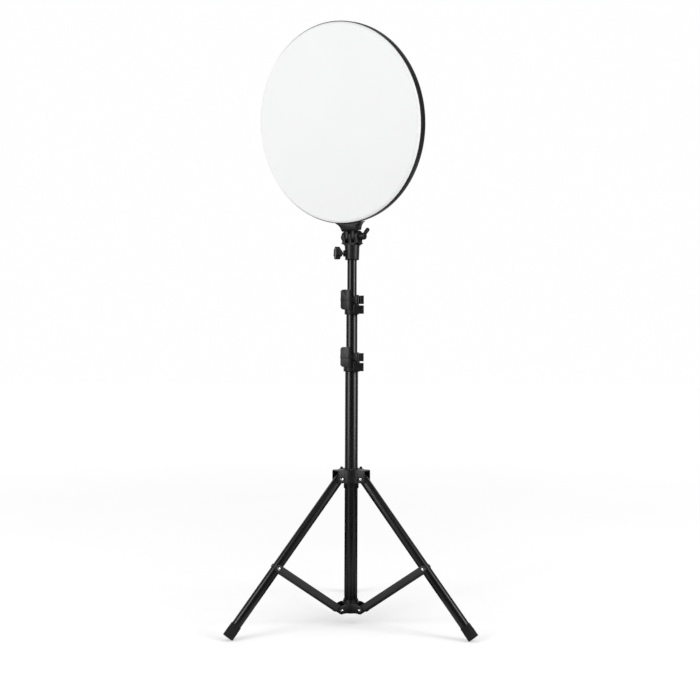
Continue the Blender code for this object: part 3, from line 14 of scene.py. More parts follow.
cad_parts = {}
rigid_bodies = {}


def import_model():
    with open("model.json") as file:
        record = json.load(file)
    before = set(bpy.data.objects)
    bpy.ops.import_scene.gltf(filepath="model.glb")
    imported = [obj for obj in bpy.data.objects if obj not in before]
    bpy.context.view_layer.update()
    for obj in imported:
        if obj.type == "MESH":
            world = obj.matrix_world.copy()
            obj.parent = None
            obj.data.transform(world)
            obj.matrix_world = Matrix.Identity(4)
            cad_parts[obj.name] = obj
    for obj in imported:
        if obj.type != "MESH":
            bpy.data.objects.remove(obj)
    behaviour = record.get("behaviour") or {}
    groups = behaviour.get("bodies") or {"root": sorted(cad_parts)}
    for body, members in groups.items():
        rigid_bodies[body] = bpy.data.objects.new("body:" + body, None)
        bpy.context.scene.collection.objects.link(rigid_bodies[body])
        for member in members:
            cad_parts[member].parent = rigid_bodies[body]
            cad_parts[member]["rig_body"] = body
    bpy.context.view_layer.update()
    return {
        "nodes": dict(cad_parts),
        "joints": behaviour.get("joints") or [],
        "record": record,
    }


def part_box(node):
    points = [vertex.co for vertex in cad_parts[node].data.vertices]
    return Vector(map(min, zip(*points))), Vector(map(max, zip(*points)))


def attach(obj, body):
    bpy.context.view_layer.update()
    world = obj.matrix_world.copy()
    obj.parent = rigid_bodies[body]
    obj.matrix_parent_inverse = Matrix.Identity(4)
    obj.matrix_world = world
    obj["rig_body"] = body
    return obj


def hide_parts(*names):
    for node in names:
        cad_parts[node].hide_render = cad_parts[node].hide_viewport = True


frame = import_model()

MM = 0.001

# Camera: level, in front of the stand
CAMERA_PLACE = (-1.2 * MM, -1700 * MM, 433 * MM)
CAMERA_ROLL = math.radians(-0.23)
LENS = 51.94
FRAME_SHIFT = (-1 / 700, 5 / 700)

# Studio
FLOOR_HALF = 14.0
SOFTBOX_DISTANCE = 2.1
SOFTBOX_MIDDLE = 1.1
SOFTBOX_TALL = 1.7
LEFT_AZIMUTH = -52
RIGHT_AZIMUTH = 62
FLAG_TALL = 4.6
FLAG_BELOW = 1.0
# Standing flags: azimuth, distance, width
FLAGS = (("front flag", 0, 3.2, 5.2), ("left flag", -97, 2.7, 2.6), ("right flag", 105, 2.7, 2.6))
FLOOR_FLAG = 3.6
TOP_FLAG = 4.4
TOP_FLAG_HEIGHT = 3.4
PALE_CARD = (0.4, 2.2)
PALE_CARD_OUT = 1.2
CARD_BLACK = 0.01
CARD_PALE = 0.75
FLOOR_DARK = 0.84
FLOOR_LIGHT = 0.86
WORLD_FILL = 0.5
WORLD_SEEN = 0.995
FLOOR_NEAR = 0.3
FLOOR_FAR = 3.2
FLOOR_GLOW_NEAR = 0.36
FLOOR_GLOW_FAR = 0.575

# Round pieces
FINE = 64
SMALL = 32
TINY = 20

# The stand's fold
LEG_SIDES = ("left", "right", "rear")
LEG_ANGLE = math.radians(40.0)
LEG_LENGTH = 311.0 * MM
LEG_HEEL = 5.0 * MM
BRACE_ALONG_LEG = 178.9 * MM

# Fits and edges
GAP = 0.3 * MM
SOFT = 0.8 * MM
SMALL_ROUND = 0.6 * MM
FINE_EDGE = 0.4 * MM
CRISP = 0.35 * MM
CAST_ROUND = 1.2 * MM

# The telescope
COLUMN_R = 11.0 * MM
COLUMN_WALL = 1.0 * MM
MID_R = 9.5 * MM
TOP_R = 8.0 * MM
SLIDE_WALL = 0.8 * MM
PLUG_FLANGE = 2.2 * MM
PLUG_HOLLOW = 0.45
SPIGOT_STEP = 0.4 * MM
TOP_TUBE_END = 600.0 * MM

# Legs, feet and rivets
LEG_R = 8.0 * MM
LEG_WALL = 0.9 * MM
FOOT_LENGTH = 23.0 * MM
FOOT_R = 9.2 * MM
FOOT_FLOOR = 4.0 * MM
FOOT_RINGS = 3
FOOT_RING_PITCH = 2.6 * MM
FOOT_GROOVE = 0.5 * MM
FOOT_ROUND = 1.2 * MM
RIVET_R = 1.9 * MM
RIVET_HEAD_R = 2.8 * MM
RIVET_HEAD_H = 1.5 * MM

# Hub, crown and braces
PIVOT_RADIUS = 23.5 * MM
COLUMN_BORE = 11.3 * MM
HUB_PIVOT_Z = 8.1 * MM
HUB_RING_R = 14.5 * MM
HUB_SLEEVE_R = 12.6 * MM
HUB_TOP = 19.0 * MM
HUB_CHEEK_IN = 9.8 * MM
HUB_CHEEK_OUT = 12.2 * MM
HUB_LOBE_R = 6.4 * MM
CROWN_PIVOT_Z = 226.0 * MM
CROWN_BOTTOM = 219.1 * MM
CROWN_TOP = 241.27 * MM
CROWN_BODY_R = 21.5 * MM
CROWN_COLLAR_R = 14.0 * MM
CROWN_SLEEVE_R = 12.6 * MM
CROWN_REACH = 31.0 * MM
CROWN_OUTER = 10.3 * MM
CROWN_SLOT = 8.5 * MM
CROWN_ROOF = 1.9 * MM
CROWN_SCREW_OUT = 18.8 * MM
SCREW_R = 1.5 * MM
SCREW_HEAD_R = 2.6 * MM
RECESS_DEEP = 0.9 * MM
RECESS_TURN = 20
CROWN_NOSE = 1.2 * MM
CROWN_BROW = 2.5 * MM
BRACE_WALL = 1.2 * MM
BRACE_HALF_HEIGHT = 6.2 * MM
CHANNEL_INNER = 8.3 * MM
CHANNEL_OUTER = 9.5 * MM
BRACE_LEG_MOUTH = 28.0 * MM
BRACE_HUB_MOUTH = 9.0 * MM
BRACE_BEND = 0.5 * MM
BRACE_EDGE = 0.2 * MM

# The flip locks, with heights from the collar's underside
LOCKS = {"lower": (COLUMN_R, MID_R), "upper": (MID_R, TOP_R)}
COLLAR_WALL = 2.5 * MM
COLLAR_TOP = 28.0 * MM
COLLAR_LIP = 1.2 * MM
COLLAR_STEP = 19.0 * MM
COLLAR_ROOT = 0.75
SPLIT_HALF = 1.0 * MM
LOCK_HEIGHT = 41.2 * MM
LEVER_GAP = 0.7 * MM
LEVER_WALL = 2.8 * MM
EAR_LOW = (0.8 * MM, 14.7 * MM)
EAR_HIGH = (17.3 * MM, 31.1 * MM)
EAR_START = 2.0 * MM
EAR_END = 20.0 * MM
EAR_STEM = 3.4 * MM
EAR_ROUND = 1.6 * MM
LUG_R = 3.7 * MM
LUG_ROOM = 0.5 * MM
PIN_R = 1.5 * MM
PIN_HEAD_R = 2.5 * MM
PIN_HEAD_H = 0.9 * MM
TIP_X = -19.0 * MM
TIP_FRONT = -11.6 * MM
TIP_BACK = -9.0 * MM
PAD_RIGHT = -1.0 * MM
PAD_BOTTOM = 7.5 * MM
PAD_FOOT_ROUND = 7.0 * MM
PAD_HEEL_ROUND = 2.0 * MM
PAD_TOP_ROUND = 6.0 * MM
PAD_BACK_ROUND = 3.0 * MM
ARM_ROUND = 1.5 * MM
LEVER_DEEP = 26.0 * MM
# Where the band starts at the arm, and leaves the collar for its tip, in degrees
BAND_START = -56
RIB_START = -57.5
BAND_LEAVES_OUT = -122
BAND_LEAVES_IN = -141
RIB_Z = 24.8 * MM
RIB_HALF = 2.0 * MM
RIB_PROUD = 1.5 * MM
ARM_HALF = 3.2 * MM

# The tilting base
SOCKET_FOOT_R = 11.8 * MM
SOCKET_TOP_R = 12.6 * MM
SOCKET_TOP = 616.4 * MM
SOCKET_ROOF = 613.0 * MM
CLAMP_SCREW_R = 2.4 * MM
CLAMP_BOSS_R = 5.4 * MM
CLAMP_BOSS_END = 15.0 * MM
THREAD_PITCH = 1.0 * MM
THREAD_PLAIN = 6.0 * MM
THREAD_END = 4.0 * MM
KNOB_START = 18.0 * MM
KNOB_SHOULDER = 21.5 * MM
KNOB_END = 30.0 * MM
KNOB_R = 10.2 * MM
KNOB_LOBE = 0.8 * MM
KNOB_LOBES = 7
KNOB_LOBE_STEPS = 14
KNOB_NECK_R = 5.2 * MM
KNOB_NECK_FLARE = 2.5 * MM
KNOB_FACE = 3.0 * MM
KNOB_DISH = 0.7 * MM
KNOB_DISH_R = 6.0 * MM
KNUCKLE_R = 10.0 * MM
KNUCKLE_GAP = 0.4 * MM
KNUCKLE_WAIST = 0.6
BASE_ROOT = 7.5 * MM
BASE_KNUCKLE = 6.0 * MM
NECK_KNUCKLE = 6.0 * MM
STACK_HALF = 15.8 * MM
BASE_FLOOR = 10.5 * MM
YOKE_FOOT = 9.5 * MM
YOKE_LIP = 1.4 * MM
YOKE_TURN = math.radians(75.0)
BOLT_R = 3.0 * MM
BOLT_HEAD_R = 5.2 * MM
BOLT_HEAD_H = 4.2 * MM
BOLT_CHAMFER = 0.5 * MM
HEX_R = 2.6 * MM
HEX_DEEP = 2.2 * MM
WING_HUB_R = 6.0 * MM
WING_HUB = 10.5 * MM
WING_HUB_ROUND = 1.6 * MM
WING_CAP = 1.0 * MM
WING_ROOT = 0.55
WING_REACH = 13.5 * MM
WING_THICK = 4.0 * MM
WING_WIDTH = 7.0 * MM
WING_ROUND = 1.3 * MM
WING_LEAN_OUT = math.radians(24.0)
WING_LEAN_BACK = math.radians(-28.0)

# The light head, with heights on the disc's own axis, +Z out of its face
HEAD_TILT = math.radians(11.2)
DISC_CENTRE = 186.4 * MM
DISC_R = 163.0 * MM
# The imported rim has 64 flats, and the round one stays inside them
RIM_R = DISC_R * math.cos(math.pi / 64)
DISC_STEPS = 192
NECK_TOP = 52.0 * MM
NECK_WAIST = 29.0 * MM
NECK_FLARE_TURN = math.radians(70.0)
NECK_DEPTH = 19.0 * MM
NECK_FOOT = 15.0 * MM
NECK_CHAMFER = 14.0 * MM
TONGUE_HALF = 17.0 * MM
TONGUE_IN = 16.0 * MM
TONGUE_BACK = -4.7 * MM
TONGUE_FRONT = 0.8 * MM
NECK_SCREW_X = 10.0 * MM
NECK_SCREW_IN = 11.0 * MM
NECK_SCREW_LONG = 5.4 * MM
NECK_HEAD_R = 3.0 * MM
NECK_HEAD_H = 1.6 * MM
HOUSING_BACK = -7.2 * MM
HOUSING_FRONT = 8.8 * MM
HOUSING_WALL = 2.0 * MM
INNER_ROUND = 3.0 * MM
BACK_ROUND = 6.0 * MM
RIM_SEAM = 3.2 * MM
RIM_SEAM_WIDE = 1.2 * MM
BACK_STEP = 1.6 * MM
STEP_R = 115.0 * MM
BACK_GROOVE_R = 103.0 * MM
BACK_GROOVE_WIDE = 2.0 * MM
BACK_GROOVE_DEEP = 0.5 * MM
VENT_COUNT = 12
VENT_IN = 73.0 * MM
VENT_OUT = 89.0 * MM
VENT_WIDTH = 3.0 * MM
BOSS_COUNT = 6
BOSS_OUT = 125.0 * MM
BOSS_R = 3.2 * MM
BOARD_BACK = 1.4 * MM
DRIVER_BACK = -3.0 * MM
DRIVER_HALF = 25.0 * MM
DRIVER_DEEP = 12.0 * MM
POST_R = 1.8 * MM
POST_IN = 3.0 * MM
DIFFUSER_R = 161.5 * MM
DIFFUSER_PROUD = 5.0 * MM
DIFFUSER_ROUND = 6.0 * MM
DIFFUSER_WALL = 1.6 * MM
DIFFUSER_SKIRT = 4.5 * MM
CONTROL_Y = -133.0 * MM
CONTROL_PITCH = 15.0 * MM
BUTTON_R = 4.4 * MM
BUTTON_FLANGE_R = 5.6 * MM
BUTTON_PROUD = 1.2 * MM
BUTTON_FLANGE = 1.2 * MM
BUTTON_ROUND = 0.5 * MM
# The bars of each button's mark: turn in degrees, shift
BUTTONS = {"dim": [(0, 0)], "power": [(90, 0.9 * MM)], "bright": [(90, 0), (0, 0)]}
MARK_HALF = 1.3 * MM
MARK_THIN = 0.25 * MM
MARK_RING = (1.1 * MM, 1.6 * MM)
INLET_X = 32.0 * MM
INLET_R = 5.0 * MM
INLET_FLANGE_R = 7.0 * MM
INLET_BORE_R = 3.2 * MM
INLET_DEPTH = 6.6 * MM
INLET_PROUD = 0.4 * MM
INLET_FLOOR = 1.2 * MM
INLET_PIN_R = 1.0 * MM


def joint(name):
    return next(row for row in frame["joints"] if row["name"] == name)


def joint_place(name):
    return Vector(joint(name)["pos_m"])


def turn_about(axis, angle):
    return Matrix.Rotation(angle, 4, axis)


def move_by(x, y, z):
    return Matrix.Translation((x, y, z))


def leg_frame(side):
    """The upright frame of a leg: +X runs out over the leg."""
    pivot = joint_place(f"leg_{side}_fold")
    return turn_about("Z", math.atan2(pivot.y, pivot.x))


TILT_AXIS = Vector(joint("head_tilt")["axis"])
HINGE = Matrix.Translation(joint_place("head_tilt")) @ turn_about("Z", math.atan2(TILT_AXIS.y, TILT_AXIS.x))
HEAD = HINGE @ turn_about("X", HEAD_TILT)
DISC = HEAD @ move_by(0, 0, DISC_CENTRE) @ turn_about("X", math.pi / 2)
# A slab's own plane stood upright, its front towards -Y
STANDING = turn_about("X", math.pi / 2)
# A slab's own plane stood square to X: its x runs along +Y and its y up
ACROSS = Matrix(((0, 0, 1, 0), (1, 0, 0, 0), (0, 1, 0, 0), (0, 0, 0, 1)))
# The clamp screw's frame: +Z runs out along the screw
CLAMP_AXIS = Vector(joint("clamp_turn")["axis"])
CLAMP = (
    move_by(0, 0, joint_place("clamp_turn").z)
    @ turn_about("Z", math.atan2(-CLAMP_AXIS.y, -CLAMP_AXIS.x))
    @ turn_about("Y", -math.pi / 2)
)
SLOTS = {part["node"]: part["material_slot"] for part in frame["record"]["subparts"]}


def take(piece):
    """Leaves only this piece selected, and active."""
    bpy.ops.object.select_all(action="DESELECT")
    piece.select_set(True)
    bpy.context.view_layer.objects.active = piece
    return piece


def draw(points):
    """Pulls one point from place to place, and leaves the line of edges in edit mode, all selected."""
    bpy.ops.object.select_all(action="DESELECT")
    bpy.ops.mesh.primitive_plane_add(size=MM, enter_editmode=True, location=points[0])
    bpy.ops.mesh.merge(type="CENTER")
    for start, end in zip(points, points[1:]):
        step = Vector(end) - Vector(start)
        bpy.ops.mesh.extrude_vertices_move(TRANSFORM_OT_translate={"value": step})
    bpy.ops.mesh.select_all(action="SELECT")
    return bpy.context.object


def leave_edit():
    """Closes seams, turns the faces outwards and applies the place."""
    bpy.ops.mesh.select_all(action="SELECT")
    bpy.ops.mesh.remove_doubles(threshold=0.002 * MM)
    bpy.ops.mesh.normals_make_consistent(inside=False)
    bpy.ops.object.mode_set(mode="OBJECT")
    bpy.ops.object.transform_apply(location=True, rotation=True, scale=True)


def turned(section, steps=FINE):
    """A solid spun about Z from half its section, radius and height, from the top's middle down."""
    piece = draw([(radius, 0, height) for radius, height in section])
    bpy.ops.mesh.spin(steps=steps, angle=2 * math.pi, center=(0, 0, 0), axis=(0, 0, 1))
    leave_edit()
    return piece


def turned_ring(section, steps=FINE):
    """A hollow solid spun about Z from its closed section."""
    return turned(section + section[:1], steps)


def slab(outline, low, high):
    """A flat outline filled and pulled up from one height to another."""
    piece = draw([(x, y, low) for x, y in outline])
    bpy.ops.mesh.edge_face_add()
    bpy.ops.mesh.extrude_region_move(TRANSFORM_OT_translate={"value": (0, 0, high - low)})
    leave_edit()
    return piece


def block(low, high):
    """A box between two corners."""
    bpy.ops.object.select_all(action="DESELECT")
    middle = [(a + b) / 2 for a, b in zip(low, high)]
    bpy.ops.mesh.primitive_cube_add(size=1, location=middle)
    piece = bpy.context.object
    piece.scale = [b - a for a, b in zip(low, high)]
    bpy.ops.object.transform_apply(location=True, rotation=True, scale=True)
    return piece


def rod(radius, low, high, sides=SMALL, tip=None):
    """A cylinder or a cone along Z."""
    bpy.ops.object.select_all(action="DESELECT")
    bpy.ops.mesh.primitive_cone_add(
        vertices=sides,
        radius1=radius,
        radius2=radius if tip is None else tip,
        depth=high - low,
        location=(0, 0, (low + high) / 2),
        rotation=(0, 0, math.pi / sides),
    )
    bpy.ops.object.transform_apply(location=True, rotation=True, scale=True)
    return bpy.context.object


def lay(piece, *places):
    """Lays a piece in its place and applies it, so its object stays at the origin."""
    take(piece)
    whole = Matrix()
    for place in places:
        whole = whole @ place
    piece.matrix_world = whole
    bpy.ops.object.transform_apply(location=True, rotation=True, scale=True)
    return piece


def apply_modifier(piece, modifier):
    take(piece)
    bpy.ops.object.modifier_apply(modifier=modifier.name)


def soften(piece, width, segments=3, angle=35.0, clamp=True):
    """Rounds the edges sharper than an angle."""
    rounding = piece.modifiers.new("rounding", "BEVEL")
    rounding.width = width
    rounding.segments = segments
    rounding.limit_method = "ANGLE"
    rounding.angle_limit = math.radians(angle)
    rounding.use_clamp_overlap = clamp
    apply_modifier(piece, rounding)
    return piece


def combine(piece, other, operation):
    meeting = piece.modifiers.new("meeting", "BOOLEAN")
    meeting.operation = operation
    meeting.object = other
    meeting.solver = "EXACT"
    apply_modifier(piece, meeting)
    bpy.data.objects.remove(other)
    return piece


def weld(piece, *others):
    for other in others:
        combine(piece, other, "UNION")
    return piece


def carve(piece, *others):
    for other in others:
        combine(piece, other, "DIFFERENCE")
    return piece


def trim(piece, other):
    return combine(piece, other, "INTERSECT")


def repeat(piece, count, axis="Z"):
    """Copies a piece round an axis, each with its own mesh, and joins them to the first."""
    copies = []
    for step in range(1, count):
        take(piece)
        bpy.ops.object.duplicate()
        copy = bpy.context.object
        lay(copy, turn_about(axis, 2 * math.pi * step / count))
        copies.append(copy)
    return gather(piece, *copies)


def gather(piece, *others):
    """Joins loose pieces into one object without welding them."""
    take(piece)
    for other in others:
        other.select_set(True)
    bpy.ops.object.join()
    return piece


def arc(centre, radius, start, end, steps):
    """Points of an arc, in degrees, both ends included."""
    angles = [math.radians(start + (end - start) * step / steps) for step in range(steps + 1)]
    return [(centre[0] + radius * math.cos(a), centre[1] + radius * math.sin(a)) for a in angles]


def rounded(corners, steps=6):
    """An outline with an arc at each corner given as (x, y, radius)."""
    outline = []
    for index, (x, y, radius) in enumerate(corners):
        if radius == 0:
            outline.append((x, y))
            continue
        corner = Vector((x, y))
        before = (Vector(corners[index - 1][:2]) - corner).normalized()
        after = (Vector(corners[(index + 1) % len(corners)][:2]) - corner).normalized()
        half = before.angle(after) / 2
        centre = corner + (before + after).normalized() * radius / math.sin(half)
        first = corner + before * radius / math.tan(half) - centre
        last = corner + after * radius / math.tan(half) - centre
        start = math.atan2(first.y, first.x)
        sweep = math.atan2(first.cross(last), first.dot(last))
        outline += arc(centre, radius, math.degrees(start), math.degrees(start + sweep), steps)
    return outline


def capsule(start, end, radius, steps=12):
    """The outline round two circles of one radius."""
    along = math.degrees(math.atan2(end[1] - start[1], end[0] - start[0]))
    tip = arc(end, radius, along - 90, along + 90, steps)
    return tip + arc(start, radius, along + 90, along + 270, steps)


def flare(foot, top, low, high, turn, steps):
    """Points of a hollow curve, straight up at first, from half width foot to half width top."""
    turns = [turn * step / steps for step in range(steps + 1)]
    out = (top - foot) / (1 - math.cos(turn))
    rise = (high - low) / math.sin(turn)
    return [(foot + out * (1 - math.cos(a)), low + rise * math.sin(a)) for a in turns]


def top_edge(radius, height, soft=SOFT, steps=4):
    """The rounded outer edge at a section's top, from its flat to its side."""
    return arc((radius - soft, height - soft), soft, 90, 0, steps)


def foot_edge(radius, height, soft=SOFT, steps=4):
    """The rounded outer edge at a section's foot, from its side to its flat."""
    return arc((radius - soft, height + soft), soft, 0, -90, steps)


def dress(piece, node):
    """Names and smooths a finished piece, gives it its finish and sets it in place of its node."""
    slot = SLOTS[node]
    piece.name = piece.data.name = f"fine_{node}"
    take(piece)
    bpy.ops.object.shade_smooth_by_angle(angle=math.radians(32.0))
    piece.data.materials.clear()
    piece.data.materials.append(FINISHES[slot])
    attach(piece, frame["nodes"][node]["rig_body"])
    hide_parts(node)
    return piece


def new_finish(name, roughness, metallic=0.0, specular=0.5):
    """A material with its constants on the shader's own sockets."""
    finish = bpy.data.materials.new(name)
    finish.use_nodes = True
    shader = finish.node_tree.nodes["Principled BSDF"]
    shader.inputs["Roughness"].default_value = roughness
    shader.inputs["Metallic"].default_value = metallic
    shader.inputs["Specular IOR Level"].default_value = specular
    return finish


def wire(finish, kind, **inputs):
    """Adds a node. An input given as a socket is linked, any other is set."""
    node = finish.node_tree.nodes.new(kind)
    for key, value in inputs.items():
        socket = node.inputs[key.replace("_", " ")]
        if isinstance(value, bpy.types.NodeSocket):
            finish.node_tree.links.new(value, socket)
        else:
            socket.default_value = value
    return node


def grain(finish, scale, detail=3.0, stretch=(1, 1, 1), rough=0.5):
    """Noise on the object's own coordinates. The scale counts cells in a metre."""
    place = wire(finish, "ShaderNodeTexCoord")
    spread = wire(finish, "ShaderNodeMapping", Vector=place.outputs["Object"], Scale=stretch)
    cells = {"Scale": scale, "Detail": detail, "Roughness": rough}
    return wire(finish, "ShaderNodeTexNoise", Vector=spread.outputs[0], **cells).outputs["Fac"]


def between(finish, value, low, high, start=0.3, end=0.7):
    """Maps a noise value to a range."""
    node = wire(finish, "ShaderNodeMapRange", Value=value)
    node.inputs["From Min"].default_value = start
    node.inputs["From Max"].default_value = end
    node.inputs["To Min"].default_value = low
    node.inputs["To Max"].default_value = high
    return node.outputs["Result"]


def tint(finish, value, dark, light, start=0.3, end=0.7):
    """Blends two colours by a value."""
    ramp = finish.node_tree.nodes.new("ShaderNodeValToRGB")
    ramp.color_ramp.elements[0].position = start
    ramp.color_ramp.elements[0].color = (*dark, 1)
    ramp.color_ramp.elements[1].position = end
    ramp.color_ramp.elements[1].color = (*light, 1)
    finish.node_tree.links.new(value, ramp.inputs["Fac"])
    return ramp.outputs["Color"]


def feed(finish, **outputs):
    """Links values to the shader's sockets."""
    shader = finish.node_tree.nodes["Principled BSDF"]
    for key, value in outputs.items():
        finish.node_tree.links.new(value, shader.inputs[key.replace("_", " ")])
    return finish


def relief(finish, height, distance, strength):
    """A bump from a height."""
    bump = wire(finish, "ShaderNodeBump", Height=height, Strength=strength, Distance=distance)
    return bump.outputs["Normal"]


def worn_edges(finish, colour, worn, start, end):
    """Lightens the outer edges a little, where hands and cloth rub."""
    shape = wire(finish, "ShaderNodeNewGeometry")
    edge = between(finish, shape.outputs["Pointiness"], 0.0, 1.0, start, end)
    mix = finish.node_tree.nodes.new("ShaderNodeMix")
    mix.data_type = "RGBA"
    finish.node_tree.links.new(edge, mix.inputs["Factor"])
    finish.node_tree.links.new(colour, mix.inputs["A"])
    mix.inputs["B"].default_value = (*worn, 1)
    return mix.outputs["Result"]


def coat(name, roughness, colours, clouds, patches, skin, specular=0.5, metallic=0.0, worn=None, **form):
    """A finish: two colours in clouds, a roughness in patches and a fine skin in relief.

    clouds: cells in a metre, detail
    patches: cells, detail, how far the roughness strays
    skin: cells, detail, depth in mm, strength
    worn: the colour of rubbed edges, where it starts, where it is full
    """
    finish = new_finish(name, roughness, metallic, specular)
    colour = tint(finish, grain(finish, *clouds), *colours)
    if worn:
        colour = worn_edges(finish, colour, *worn)
    cells, detail, stray = patches
    rough = between(finish, grain(finish, cells, detail), roughness - stray, roughness + stray)
    cells, detail, depth, strength = skin
    marks = relief(finish, grain(finish, cells, detail, **form), depth * MM, strength)
    return feed(finish, Base_Color=colour, Roughness=rough, Normal=marks)


def moulding(name, dark, light, roughness, cells, depth):
    """A black moulding with the sparked texture of its tool, and paler where hands rub its edges."""
    worn = (tuple(2.4 * level for level in light), 0.54, 0.66)
    patches = (900.0, 3.0, 0.06)
    skin = (cells, 2.0, depth, 0.5)
    return coat(name, roughness, (dark, light), (180.0, 4.0), patches, skin, 0.36, worn=worn, rough=0.7)


def hidden(name, dark, light, roughness):
    """Nylon and circuit boards inside: a soft mottled colour with a light grain."""
    patches = (800.0, 3.0, 0.07)
    skin = (1800.0, 2.0, 0.02, 0.5)
    return coat(name, roughness, (dark, light), (300.0, 4.0), patches, skin, 0.4)


def opal():
    """White opal sheet, faintly frosted, a breath cooler in patches."""
    colours = ((0.862, 0.87, 0.868), (0.882, 0.885, 0.885))
    patches = (1500.0, 3.0, 0.04)
    skin = (2600.0, 2.0, 0.012, 0.4)
    finish = coat("opal diffuser", 0.42, colours, (9.0, 2.0), patches, skin, 0.3)
    shader = finish.node_tree.nodes["Principled BSDF"]
    shader.inputs["Subsurface Weight"].default_value = 0.12
    shader.inputs["Subsurface Radius"].default_value = (1.0, 0.95, 0.9)
    shader.inputs["Subsurface Scale"].default_value = 2.0 * MM
    return finish


FINISHES = {
    # Semi-gloss stove enamel with a faint orange peel
    "tube_black": coat(
        "black tube enamel",
        0.3,
        ((0.003, 0.0031, 0.0033), (0.0048, 0.0049, 0.0052)),
        clouds=(90.0, 3.0),
        patches=(420.0, 4.0, 0.04),
        skin=(350.0, 1.0, 0.004, 0.3),
        specular=0.45,
    ),
    # Satin paint on pressed steel, rubbed a little at its edges
    "brace_black": coat(
        "black brace paint",
        0.42,
        ((0.007, 0.0071, 0.0074), (0.012, 0.0121, 0.0126)),
        clouds=(140.0, 3.0),
        patches=(600.0, 4.0, 0.06),
        skin=(1300.0, 2.0, 0.02, 0.6),
        specular=0.32,
        worn=((0.024, 0.024, 0.0248), 0.52, 0.62),
    ),
    "black_plastic": moulding(
        "black moulding", (0.0035, 0.0035, 0.0037), (0.0075, 0.0075, 0.0078), 0.4, 2400.0, 0.04
    ),
    "housing_black": moulding(
        "housing moulding", (0.006, 0.006, 0.0063), (0.01, 0.01, 0.0104), 0.4, 1800.0, 0.03
    ),
    "button_grey": moulding(
        "button moulding", (0.03, 0.03, 0.031), (0.045, 0.045, 0.047), 0.5, 2200.0, 0.03
    ),
    # Dull rubber with a dusty bloom
    "rubber": coat(
        "foot rubber",
        0.72,
        ((0.006, 0.006, 0.006), (0.012, 0.0119, 0.0117)),
        clouds=(260.0, 5.0),
        patches=(500.0, 4.0, 0.08),
        skin=(2100.0, 3.0, 0.04, 0.6),
        specular=0.25,
    ),
    # Bright nickel with fine turning marks and a little tarnish
    "bright_steel": coat(
        "bright nickel",
        0.24,
        ((0.62, 0.61, 0.6), (0.86, 0.85, 0.84)),
        clouds=(700.0, 4.0),
        patches=(1600.0, 4.0, 0.08),
        skin=(2600.0, 2.0, 0.01, 0.5),
        metallic=1.0,
        stretch=(1, 1, 6),
    ),
    # Oil-blackened steel of screws, lock pins and the bolt
    "black_steel": coat(
        "blackened steel",
        0.38,
        ((0.02, 0.02, 0.022), (0.05, 0.05, 0.053)),
        clouds=(900.0, 4.0),
        patches=(1400.0, 3.0, 0.08),
        skin=(2400.0, 2.0, 0.01, 0.5),
        metallic=0.85,
    ),
    "opal": opal(),
    "nylon": hidden("guide nylon", (0.42, 0.42, 0.41), (0.55, 0.55, 0.53), 0.45),
    "board_white": hidden("light board", (0.78, 0.78, 0.76), (0.86, 0.86, 0.84), 0.4),
    "board_green": hidden("driver board", (0.02, 0.16, 0.06), (0.04, 0.24, 0.1), 0.35),
}


def tube(outer, wall, low, high):
    """A drawn tube with rounded rims."""
    lip = wall / 2
    middle = outer - lip
    section = arc((middle, high - lip), lip, 180, 0, 6) + arc((middle, low + lip), lip, 0, -180, 6)
    return turned_ring(section)


def domed_head(radius, seat, rise, shank_r, end):
    """The section of a domed screw or rivet head on a straight shank."""
    dome = [(radius * math.cos(a), seat + rise * math.sin(a)) for a in [1.5, 1.25, 1.0, 0.75, 0.5, 0.25]]
    return [(0, seat + rise)] + dome + [(radius, seat), (shank_r, seat), (shank_r, end), (0, end)]


def cross_recess(top, across):
    """The cutters of a screwdriver's cross in a head. One bar is shallower, so no two floors are level."""
    bars = []
    for turn, deep in ((RECESS_TURN, RECESS_DEEP), (RECESS_TURN + 90, RECESS_DEEP * 0.95)):
        bar = block((-across, -across / 5, top - deep), (across, across / 5, top + deep))
        bars.append(lay(bar, turn_about("Z", math.radians(turn))))
    return bars


def telescope():
    """The three tubes of the column, and the plug in its foot."""
    tubes = {
        "column_tube": (COLUMN_R, COLUMN_WALL),
        "mid_tube": (MID_R, SLIDE_WALL),
        "top_tube": (TOP_R, SLIDE_WALL),
    }
    for node, (outer, wall) in tubes.items():
        low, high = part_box(node)
        dress(tube(outer, wall, low.z, high.z), node)
    low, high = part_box("column_foot_plug")
    rim = high.x
    stub = COLUMN_R - COLUMN_WALL - GAP
    hollow = PLUG_HOLLOW * rim
    section = [(0, high.z), (stub - MM, high.z), (stub, high.z - MM), (stub, PLUG_FLANGE)]
    section += top_edge(rim, PLUG_FLANGE, SOFT / 2, 3)
    section += foot_edge(rim, 0) + [(hollow + SOFT, 0), (hollow, SOFT), (0, SOFT)]
    dress(turned(section), "column_foot_plug")


def rivet(node, place, reach):
    """A rivet along Y with a domed head outside each cheek."""
    half = domed_head(RIVET_HEAD_R, reach, RIVET_HEAD_H, RIVET_R, 0)[:-2]
    section = half + [(radius, -height) for radius, height in reversed(half)]
    piece = turned(section, SMALL)
    dress(lay(piece, place, turn_about("X", math.pi / 2)), node)


def rivet_bore(place, half):
    return lay(rod(RIVET_R + GAP, -half, half, TINY), place, turn_about("X", math.pi / 2))


